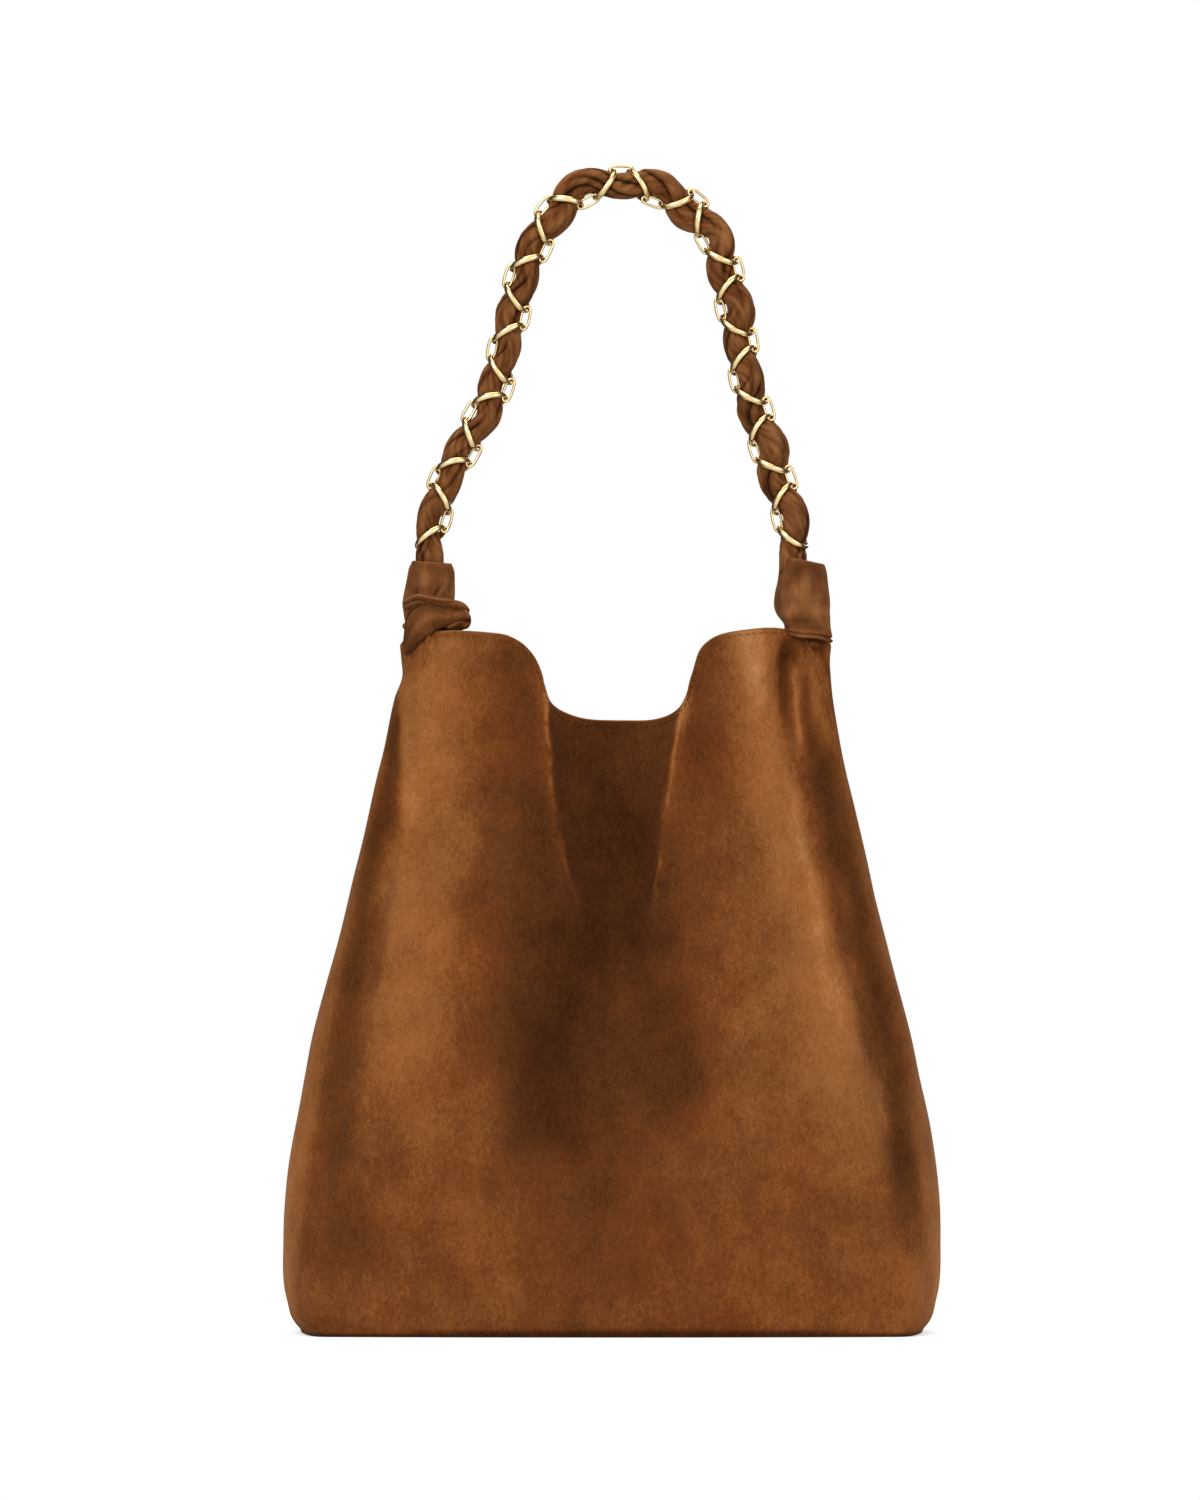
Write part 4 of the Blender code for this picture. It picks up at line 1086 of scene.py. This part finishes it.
def blurred(field, rowSpread, sideSpread):
    for axis, spread in ((0, rowSpread), (1, sideSpread)):
        reach = int(3 * spread)
        weights = np.exp(-0.5 * (np.arange(-reach, reach + 1) / spread) ** 2)
        weights /= weights.sum()
        if axis == 0:
            padded = np.concatenate([field[:1].repeat(reach, 0), field, field[-1:].repeat(reach, 0)])
            field = sum(w * padded[k:k + field.shape[0]] for k, w in enumerate(weights))
        else:
            field = sum(w * np.roll(field, reach - k, axis=1) for k, w in enumerate(weights))
    return field


def strapCreases(along, angle):
    # long creases that wind round the tube, each coming and going along its length
    dent = np.zeros((len(along), len(angle)))
    for index in range(strap["creases"]):
        for row, s in enumerate(along):
            drift = 0.9 * noise.noise(Vector((s * 30.0, index * 3.7, 0.5)))
            at = 2 * math.pi * (index / strap["creases"] + s / strap["turn"]) + drift
            force = min(1.0, max(0.0, 0.32 + 1.9 * noise.noise(Vector((s * 34.0, index * 5.1, 7.0)))))
            gap = (angle - at + math.pi) % (2 * math.pi) - math.pi
            dent[row] += force * np.exp(-(np.abs(gap) / strap["creaseWidth"]) ** 1.2)
    return np.minimum(dent, 1.2)


def roundTube(along, angle, scale, shift, ring, twist=0.0):
    # unevenness over a tube, from noise along it and round a ring of the given size
    field = np.empty((len(along), len(angle)))
    for row, s in enumerate(along):
        for column, a in enumerate(angle + twist * s):
            place = (s * scale + shift[0], ring * math.cos(a), ring * math.sin(a) + shift[1])
            field[row, column] = noise.noise(Vector(place))
    return field


def buildStrap():
    along, middle = swayedPath()
    angle = np.linspace(0, 2 * np.pi, strap["sides"], endpoint=False)
    tangent = np.gradient(middle, axis=0)
    tangent /= np.linalg.norm(tangent, axis=1, keepdims=True)
    depth = np.array([0.0, 1.0, 0.0])
    across = np.cross(depth[None, :], tangent)
    rays = (np.cos(angle)[None, :, None] * across[:, None, :]
            + np.sin(angle)[None, :, None] * depth[None, None, :])
    dent = strapCreases(along, angle)
    lumps = roundTube(along, angle, 38.0, (0.0, 9.0), 1.1)
    crumple = roundTube(along, angle, 120.0, (3.0, 0.0), 3.2, twist=60.0)
    ends = ease(np.minimum(along, along[-1] - along) / 0.012)[:, None]
    drawn = 1 - strap["slim"] * bell(along / along[-1] - strap["slimPlace"], strap["slimReach"])[:, None]
    wanted = (strap["radius"] * drawn + strap["lumps"] * lumps) * (1.05 - 0.05 * ends)
    room = roomInside(middle, rays)
    radius = np.minimum(blurred(np.minimum(wanted, room), 2.2, 1.0), room)
    radius = radius - strap["creaseDepth"] * dent - strap["crumple"] * np.maximum(crumple, -0.1)
    verts = middle[:, None, :] + rays * radius[:, :, None]
    # painted shade where the suede is pinched in, creased or crumpled
    pinch = np.clip((wanted - radius) / strap["pinchDepth"], 0.0, 1.0)
    gain = strap["shade"]
    shade = (gain["middle"] + gain["lumps"] * lumps + gain["crumple"] * crumple
             + gain["crease"] * dent + gain["pinch"] * pinch)
    drop = np.array([0.0, 0.0, strap["sink"]])
    verts = np.concatenate([verts[:1] - drop, verts, verts[-1:] - drop])
    shade = np.concatenate([shade[:1], shade, shade[-1:]])
    faces = tubeFaces(len(verts), strap["sides"])
    piece = newPiece("strapTube", verts.reshape(-1, 3), faces, strapSuede)
    paintShade(piece, shade)
    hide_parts("strap_suede")
    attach(piece, "strap")


buildStrap()
print("strap done")


# Sleeves and knots: the strap ends, tied round the corner tabs

sleeveRight = {
    # height, middle across, half width, half depth
    "rings": [(0.4050, 0.1150, 0.0134, 0.0178), (0.4085, 0.1144, 0.0136, 0.0184),
              (0.4125, 0.1136, 0.0139, 0.0188), (0.4180, 0.1120, 0.0154, 0.0184),
              (0.4235, 0.1111, 0.0161, 0.0172), (0.4300, 0.1112, 0.0158, 0.0154),
              (0.4370, 0.1117, 0.0146, 0.0135), (0.4445, 0.1117, 0.0138, 0.0120),
              (0.4488, 0.1114, 0.0131, 0.0112)],
    "topTilt": 0.0024, "hemTilt": 0.0026, "seed": 5.0, "folds": 0.0013, "hem": True, "square": 2.6,
    # darker or lighter spots: strength, place up the sleeve and round it, reach up and round
    "toneSpots": [(-0.55, 0.30, 4.45, 0.05, 0.45), (0.30, 0.62, 4.60, 0.16, 0.50),
             (-0.35, 0.20, 4.95, 0.06, 0.30), (-0.30, 0.80, 4.30, 0.10, 0.30),
             (0.25, 0.10, 4.20, 0.06, 0.40)],
    "pinches": [],
}
sleeveLeft = {
    "rings": [(0.4070, -0.1085, 0.0090, 0.0075), (0.4130, -0.1084, 0.0112, 0.0098),
              (0.4200, -0.1077, 0.0130, 0.0112), (0.4260, -0.1069, 0.0142, 0.0124),
              (0.4320, -0.1064, 0.0142, 0.0124), (0.4380, -0.1058, 0.0136, 0.0118),
              (0.4440, -0.1052, 0.0129, 0.0112), (0.4476, -0.1048, 0.0116, 0.0101)],
    "topTilt": 0.0008, "hemTilt": 0.0, "seed": 11.0, "folds": 0.0022, "hem": False, "square": 0.0,
    "toneSpots": [(0.30, 0.78, 4.50, 0.12, 0.45), (-0.35, 0.60, 4.15, 0.07, 0.30),
             (-0.40, 0.52, 5.25, 0.06, 0.25)],
    # creases: depth, place up the sleeve and round it, reach up, width round, slant
    "pinches": [(0.055, 0.53, 4.98, 0.085, 0.085, 1.7), (0.045, 0.50, 4.28, 0.060, 0.080, -2.2)],
}
knot = {
    "start": (0.0, 0.0, 0.402), "end": (0.0, 0.0, 0.446),    # heights about the foot and the top of the knots
    "rows": 64, "sides": 64, "bandRows": 90, "bandSides": 36,
    # how far in and down from the edge each ring of a turned edge lies
    "lip": ((0.035, -0.0009), (0.09, -0.0013), (0.15, -0.0010), (0.20, 0.0008), (0.24, 0.0040),
            (0.27, 0.0100)),
    "hem": ((0.04, 0.0007), (0.10, 0.0009), (0.15, 0.0002), (0.17, -0.0040)),
    # the lip and hem a little lighter, the inside painted dark as shade
    "lipTone": 0.15, "hemTone": 0.1, "insideShade": -0.8,
    "waves": ((7, 0.5), (11, 0.35), (4, 0.5)),    # folds round a sleeve: how many, how strong
}


def insetRing(edge, inset, drop):
    core = edge.mean(axis=0)
    ring = core + (edge - core) * (1 - inset)
    ring[:, 2] = edge[:, 2] - drop
    return ring


def buildSleeve(name, node, look):
    rows, sides = knot["rows"], knot["sides"]
    share = np.linspace(0, 1, rows)
    count = len(look["rings"])
    height, middle, wide, deep = throughColumns(range(count), look["rings"], share * (count - 1))
    angle = np.linspace(0, 2 * np.pi, sides, endpoint=False)
    layers, tones = [], []
    for row in range(rows):
        pull = 1 - 0.6 * share[row]
        ripple = np.zeros(sides)
        for waves, gain in knot["waves"]:
            turn = 1.4 * noise.noise(Vector((share[row] * 2.2 + look["seed"], waves, 0.0)))
            ripple += gain * np.cos(waves * angle + turn * 2.0 + look["seed"] * waves)
        cross = math.sin(share[row] * 17.0 + 1.2 * math.sin(look["seed"]))
        ripple += 0.5 * cross * np.cos(angle + look["seed"])
        if look["hem"]:
            ripple -= 2.2 * bell(share[row] - 0.055, 0.018)     # groove above the turned hem
        size = 1 + 0.5 * look["folds"] * ripple * pull / wide[row]
        # painted light on the crests of the folds and painted shade in their hollows, and lighter round the
        # middle
        tone = 0.12 * ripple + 0.20 * bell(share[row] - 0.35, 0.3)
        for strength, up, around, reach, spread in look["toneSpots"]:
            tone = tone + strength * bell(share[row] - up, reach) * bell(angle - around, spread)
        # pressed-in creases, with painted shade in them and painted light beside
        for depth, up, around, reach, spread, slant in look["pinches"]:
            gap = angle - around - slant * (share[row] - up)
            near = bell(share[row] - up, reach)
            size = size - depth * near * bell(gap, spread)
            tone = tone - near * (1.1 * bell(gap, spread) - 0.6 * bell(gap - 2.2 * spread, spread))
        bluff = 2 / (2 + look["square"] * (1 - ease(share[row] / 0.55)))
        x = middle[row] + wide[row] * size * np.sign(np.cos(angle)) * np.abs(np.cos(angle)) ** bluff
        y = deep[row] * size * np.sign(np.sin(angle)) * np.abs(np.sin(angle)) ** bluff
        z = height[row] - look["topTilt"] * ease((share[row] - 0.4) / 0.6) * np.cos(angle)
        z = z - look["hemTilt"] * (1 - ease(share[row] / 0.45)) * np.cos(angle)
        layers.append(np.stack([x, y, z], axis=1))
        blotch = [noise.noise(Vector((place[0] * 130.0, place[1] * 130.0, place[2] * 110.0 + look["seed"])))
                  for place in layers[-1]]
        tones.append(np.clip(tone + 0.55 * np.array(blotch), -0.95, 0.75))
    # rolled lip and a short way down inside, then the turned-in lower edge; the inside takes painted shade
    lip, hem = layers[-1], layers[0]
    for inset, drop in knot["lip"]:
        layers.append(insetRing(lip, inset, drop))
        tones.append(np.full(sides, knot["lipTone"] if drop < 0.0 else knot["insideShade"]))
    for inset, drop in knot["hem"]:
        layers.insert(0, insetRing(hem, inset, drop))
        tones.insert(0, np.full(sides, knot["hemTone"] if drop > 0.0 else knot["insideShade"]))
    piece = newPiece(name, np.concatenate(layers), tubeFaces(len(layers), sides), knotSuede)
    paintShade(piece, np.array(tones))
    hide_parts(node)
    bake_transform(piece)


def ribbon(name, points, widths, thick, seed, tone=0.0, blunt=9.0, crumple=1.0, tied=True):
    # a soft flat band along a path; each point gives a place and the way its face looks
    rows, sides = knot["bandRows"], knot["bandSides"]
    stops = range(len(points))
    dense = np.linspace(0, len(points) - 1, rows)
    path = np.stack(throughColumns(stops, [place for place, look in points], dense), axis=1)
    face = np.stack(throughColumns(stops, [look for place, look in points], dense), axis=1)
    width = through(list(zip(stops, widths)), dense)
    tangent = np.gradient(path, axis=0)
    tangent /= np.linalg.norm(tangent, axis=1, keepdims=True)
    across = np.cross(tangent, face)
    across /= np.linalg.norm(across, axis=1, keepdims=True)
    face = np.cross(across, tangent)
    angle = np.linspace(0, 2 * np.pi, sides, endpoint=False)
    c, s = np.cos(angle), np.sin(angle)
    verts, tones = [], []
    for row in range(rows):
        fold = np.array([noise.noise(Vector((seed + row * 0.030, 1.6 * v, 0.0))) for v in c])
        crease = np.exp(-((c - 0.35 + 0.5 * math.sin(row * 0.045 + seed)) / 0.10) ** 2)
        lift = crumple * (0.55 * fold - 0.30 * crease) * (1 - c**2)
        end = min(row, rows - 1 - row) / blunt
        close = math.sqrt(max(0.01, 1 - (1 - min(1.0, end)) ** 2))
        ring = (path[row] + (width[row] / 2 * close * c)[:, None] * across[row]
                + (thick * (0.5 * s + np.where(s > 0, lift, 0.0)) * close)[:, None] * face[row])
        verts.append(ring)
        # painted shade in the creases and towards both edges of the band, painted light on its folds
        tones.append(tone + crumple * (0.75 * fold - 0.75 * crease) - 0.30 * np.abs(c) ** 5)
    suede = knotSuede if tied else bodySuede
    piece = newPiece(name, np.concatenate(verts), tubeFaces(rows, sides), suede)
    paintShade(piece, np.array(tones))
    faceOutward(piece)
    if tied:
        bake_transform(piece)
    else:
        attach(piece, "bag")


buildSleeve("rightSleeve", "right_knot", sleeveRight)
buildSleeve("leftSleeve", "left_knot", sleeveLeft)

# The left end is wrapped round its tab: each band has places with the way its face looks there
knotBands = {
    "leftWrap": {
        "points": [
            ((-0.0850, -0.0020, 0.4185), (0.70, -0.7, 0.2)),
            ((-0.0895, -0.0080, 0.4195), (0.40, -0.9, 0.2)),
            ((-0.0985, -0.0115, 0.4190), (0.10, -1.0, 0.1)),
            ((-0.1070, -0.0130, 0.4175), (-0.15, -1.0, 0.0)),
            ((-0.1125, -0.0128, 0.4120), (-0.40, -0.9, 0.0)),
            ((-0.1165, -0.0110, 0.4045), (-0.60, -0.8, 0.0)),
            ((-0.1195, -0.0085, 0.3955), (-0.70, -0.7, 0.0)),
        ],
        "widths": [0.0115, 0.0140, 0.0170, 0.0205, 0.0185, 0.0115, 0.0045],
        "thick": 0.0075, "seed": 2.0, "tone": -0.12,
    },
    "leftWrapBehind": {
        "points": [
            ((-0.0855, -0.0030, 0.4180), (0.9, -0.4, 0.1)),
            ((-0.0865, 0.0050, 0.4175), (1.0, 0.4, 0.1)),
            ((-0.0950, 0.0130, 0.4160), (0.3, 1.0, 0.0)),
            ((-0.1070, 0.0150, 0.4150), (0.0, 1.0, 0.0)),
            ((-0.1160, 0.0105, 0.4140), (-0.7, 0.7, 0.0)),
            ((-0.1185, 0.0010, 0.4140), (-1.0, 0.0, 0.0)),
            ((-0.1150, -0.0085, 0.4150), (-0.7, -0.8, 0.0)),
        ],
        "widths": [0.0110, 0.0120, 0.0150, 0.0180, 0.0180, 0.0170, 0.0140],
        "thick": 0.0050, "seed": 4.0, "tone": -0.15,
    },
    "leftNub": {
        "points": [
            ((-0.0985, -0.0050, 0.4120), (0.0, -1.0, 0.0)),
            ((-0.0930, -0.0055, 0.4135), (0.0, -1.0, 0.0)),
            ((-0.0875, -0.0055, 0.4155), (0.1, -1.0, 0.0)),
            ((-0.0822, -0.0050, 0.4168), (0.2, -1.0, 0.0)),
        ],
        "widths": [0.0105, 0.0118, 0.0124, 0.0122],
        "thick": 0.0110, "seed": 6.0, "tone": 0.02, "blunt": 22.0,
    },
    "leftFold": {
        "points": [
            ((-0.1200, 0.0010, 0.4225), (-1.0, -0.4, 0.1)),
            ((-0.1185, -0.0070, 0.4245), (-0.7, -0.7, 0.2)),
            ((-0.1125, -0.0118, 0.4272), (-0.2, -1.0, 0.3)),
            ((-0.1050, -0.0132, 0.4262), (0.0, -1.0, 0.2)),
            ((-0.0985, -0.0120, 0.4250), (0.2, -1.0, 0.2)),
            ((-0.0930, -0.0075, 0.4238), (0.7, -0.7, 0.3)),
            ((-0.0900, -0.0010, 0.4230), (0.9, -0.3, 0.2)),
        ],
        "widths": [0.0050, 0.0062, 0.0070, 0.0060, 0.0072, 0.0066, 0.0050],
        "thick": 0.0052, "seed": 8.0, "tone": 0.10,
    },
    "leftFoldBehind": {
        "points": [
            ((-0.0900, -0.0010, 0.4230), (0.9, 0.3, 0.2)),
            ((-0.0935, 0.0080, 0.4240), (0.6, 0.8, 0.2)),
            ((-0.1050, 0.0128, 0.4250), (0.0, 1.0, 0.2)),
            ((-0.1165, 0.0085, 0.4240), (-0.7, 0.7, 0.2)),
            ((-0.1200, 0.0005, 0.4225), (-1.0, 0.2, 0.1)),
        ],
        "widths": [0.0050, 0.0064, 0.0068, 0.0064, 0.0050],
        "thick": 0.0048, "seed": 12.0, "tone": 0.0,
    },
}
for name, look in knotBands.items():
    ribbon(name, **look)
print("knots done")


# Turned edges of the front beside both knots, and a small tacked tab under the right sleeve

# the turned edges carry a painted highlight, and the tab painted shade
panelEdges = {
    # across and up, from the top down
    "rightPanelEdge": {
        "route": [(0.1120, 0.4045), (0.1146, 0.4000), (0.1180, 0.3915), (0.1208, 0.3830), (0.1236, 0.3737),
                  (0.1264, 0.3630), (0.1288, 0.3500)],
        "widths": [0.0018, 0.0028, 0.0031, 0.0030, 0.0026, 0.0020, 0.0008], "tone": 0.42,
    },
    "leftPanelEdge": {
        "route": [(-0.1050, 0.4086), (-0.1068, 0.4070), (-0.1074, 0.4020), (-0.1086, 0.3950),
                  (-0.1100, 0.3870)],
        "widths": [0.0020, 0.0030, 0.0030, 0.0022, 0.0008], "tone": 0.50,
    },
}
panelEdgeBand = {"thick": 0.0020, "seed": 3.0, "crumple": 0.4, "tied": False}
tackedTab = {
    "route": [(0.1150, -0.0158, 0.4010), (0.1168, -0.0152, 0.4006), (0.1188, -0.0140, 0.4003),
              (0.1208, -0.0124, 0.4000)],
    "facing": (0.4, -0.9, 0.0),
    "band": {"widths": [0.0034, 0.0036, 0.0036, 0.0034], "thick": 0.0014, "seed": 3.0, "tone": -0.3,
             "crumple": 0.3, "tied": False},
}


def onFront(x, z):
    # the spot of the body's front half nearest to a place seen from the front, and the way it faces
    points = bodySheetPoints.reshape(-1, 3)
    normals = bodySheetNormals.reshape(-1, 3)
    ahead = points[:, 1] < 0.0
    gap = np.where(ahead, np.hypot(points[:, 0] - x, points[:, 2] - z), 1.0)
    near = int(gap.argmin())
    return (x, points[near][1], z), tuple(normals[near])


def buildPanelEdges():
    for name, look in panelEdges.items():
        points = [onFront(x, z) for x, z in look["route"]]
        ribbon(name, points, look["widths"], tone=look["tone"], **panelEdgeBand)
    points = [(place, tackedTab["facing"]) for place in tackedTab["route"]]
    ribbon("tackedTab", points, **tackedTab["band"])


buildPanelEdges()
print("panel edges done")


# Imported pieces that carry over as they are

def boardMaterial():
    material, tree, shader = newMaterial("fibreBoard")
    coords = nodeAt(tree, "ShaderNodeTexCoord", -700, 0).outputs["Object"]
    fibres = noiseAt(tree, -500, 0, coords, 260.0, 4.0, 0.65)
    colour = mixColour(tree, -250, 0, fibres, (0.10, 0.075, 0.05, 1.0), (0.19, 0.145, 0.10, 1.0))
    tree.links.new(colour, shader.inputs["Base Color"])
    shader.inputs["Roughness"].default_value = 0.9
    return material


snapGold = goldMaterial("snapGold")
for node, material in (("base_board", boardMaterial()), ("magnet_snap_front", snapGold),
                       ("magnet_snap_back", snapGold)):
    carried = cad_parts[node]
    carried.data.materials.clear()
    carried.data.materials.append(material)
print("carried-over pieces painted")


# Studio: white surroundings, soft lamps and a floor that keeps a faint shadow

studio = {
    "lamps": [
        # name, place, aimed at, width, height, watts
        ("keyLamp", (-1.1, -2.4, 1.9), (0.0, 0.0, 0.32), 1.6, 1.6, 38.0),
        ("fillLamp", (1.7, -2.2, 0.9), (0.0, 0.0, 0.30), 1.4, 1.8, 13.0),
        ("topLamp", (0.0, -0.2, 2.4), (0.0, 0.0, 0.30), 1.8, 1.4, 18.0),
        ("backLamp", (0.4, 2.6, 1.3), (0.0, 0.0, 0.30), 1.8, 1.6, 26.0),
    ],
    "ambient": 0.30,
    "mirrorRange": (0.05, 0.92, 0.07, 1.16),    # how far forward, then how bright, from side to front
    "floorTone": (0.90, 0.90, 0.90, 1.0),
    "floorGlow": 0.58,           # lifts the lit floor to white for the camera only
    "floorFade": (0.34, 0.62),   # metres from the middle, where the floor gives way to the white beyond
    "floorReach": 0.7, "floorDrop": 0.0002,
}


def makeLamps():
    for name, place, aim, width, height, watts in studio["lamps"]:
        data = bpy.data.lights.new(name, "AREA")
        data.shape = "RECTANGLE"
        data.size = width
        data.size_y = height
        data.energy = watts
        lamp = bpy.data.objects.new(name, data)
        scene.collection.objects.link(lamp)
        lamp.location = place
        lamp.rotation_euler = (Vector(aim) - Vector(place)).to_track_quat("-Z", "Y").to_euler()


def makeWorld():
    world = bpy.data.worlds.new("whiteStudio")
    scene.world = world
    world.use_nodes = True
    tree = world.node_tree
    tree.nodes.clear()
    rays = nodeAt(tree, "ShaderNodeLightPath", -900, 300)
    seen = maths(tree, -300, 300, "MAXIMUM", rays.outputs["Is Camera Ray"],
                 rays.outputs["Is Transmission Ray"])
    # polished metal mirrors a bright front and darker sides
    toward = nodeAt(tree, "ShaderNodeTexCoord", -900, -100).outputs["Generated"]
    split = nodeAt(tree, "ShaderNodeSeparateXYZ", -700, -100)
    tree.links.new(toward, split.inputs[0])
    frontness = maths(tree, -500, -100, "MULTIPLY", split.outputs["Y"], -1.0)
    mirrored = nodeAt(tree, "ShaderNodeMapRange", -300, -100, interpolation_type="SMOOTHSTEP")
    for label, value in zip(("From Min", "From Max", "To Min", "To Max"), studio["mirrorRange"]):
        mirrored.inputs[label].default_value = value
    tree.links.new(frontness, mirrored.inputs["Value"])
    ambient = nodeAt(tree, "ShaderNodeBackground", -100, 0)
    mirror = nodeAt(tree, "ShaderNodeBackground", -100, -150)
    white = nodeAt(tree, "ShaderNodeBackground", -100, -300)
    setInputs(ambient, Color=(1.0, 1.0, 1.0, 1.0), Strength=studio["ambient"])
    setInputs(mirror, Color=(1.0, 1.0, 1.0, 1.0))
    setInputs(white, Color=(1.0, 1.0, 1.0, 1.0), Strength=1.0)
    tree.links.new(mirrored.outputs[0], mirror.inputs["Strength"])
    glossy = nodeAt(tree, "ShaderNodeMixShader", 100, 0)
    tree.links.new(rays.outputs["Is Glossy Ray"], glossy.inputs[0])
    tree.links.new(ambient.outputs[0], glossy.inputs[1])
    tree.links.new(mirror.outputs[0], glossy.inputs[2])
    mix = nodeAt(tree, "ShaderNodeMixShader", 300, 0)
    tree.links.new(seen, mix.inputs[0])
    tree.links.new(glossy.outputs[0], mix.inputs[1])
    tree.links.new(white.outputs[0], mix.inputs[2])
    out = nodeAt(tree, "ShaderNodeOutputWorld", 500, 0)
    tree.links.new(mix.outputs[0], out.inputs["Surface"])


def makeFloor():
    material = bpy.data.materials.new("studioFloor")
    material.use_nodes = True
    tree = material.node_tree
    tree.nodes.clear()
    matt = setInputs(nodeAt(tree, "ShaderNodeBsdfDiffuse", -300, 200), Color=studio["floorTone"])
    glow = setInputs(nodeAt(tree, "ShaderNodeEmission", -300, 50), Color=(1.0, 1.0, 1.0, 1.0))
    rays = nodeAt(tree, "ShaderNodeLightPath", -700, 50)
    tree.links.new(maths(tree, -500, 50, "MULTIPLY", rays.outputs["Is Camera Ray"], studio["floorGlow"]),
                   glow.inputs["Strength"])
    lit = nodeAt(tree, "ShaderNodeAddShader", -100, 150)
    tree.links.new(matt.outputs[0], lit.inputs[0])
    tree.links.new(glow.outputs[0], lit.inputs[1])
    place = nodeAt(tree, "ShaderNodeTexCoord", -900, -200).outputs["Object"]
    away = nodeAt(tree, "ShaderNodeVectorMath", -700, -200, operation="LENGTH")
    tree.links.new(place, away.inputs[0])
    fade = nodeAt(tree, "ShaderNodeMapRange", -500, -200, interpolation_type="SMOOTHSTEP")
    fade.inputs["From Min"].default_value = studio["floorFade"][0]
    fade.inputs["From Max"].default_value = studio["floorFade"][1]
    tree.links.new(away.outputs["Value"], fade.inputs["Value"])
    clear = nodeAt(tree, "ShaderNodeBsdfTransparent", -100, 0)
    mix = nodeAt(tree, "ShaderNodeMixShader", 100, 100)
    tree.links.new(fade.outputs[0], mix.inputs[0])
    tree.links.new(lit.outputs[0], mix.inputs[1])
    tree.links.new(clear.outputs[0], mix.inputs[2])
    out = nodeAt(tree, "ShaderNodeOutputMaterial", 300, 100)
    tree.links.new(mix.outputs[0], out.inputs["Surface"])
    reach, low = studio["floorReach"], -studio["floorDrop"]
    verts = [(-reach, -reach, low), (reach, -reach, low), (reach, reach, low), (-reach, reach, low)]
    plane = newPiece("studioFloor", verts, [(0, 1, 2, 3)], material, smooth=False)


makeLamps()
makeWorld()
makeFloor()
print("studio done")
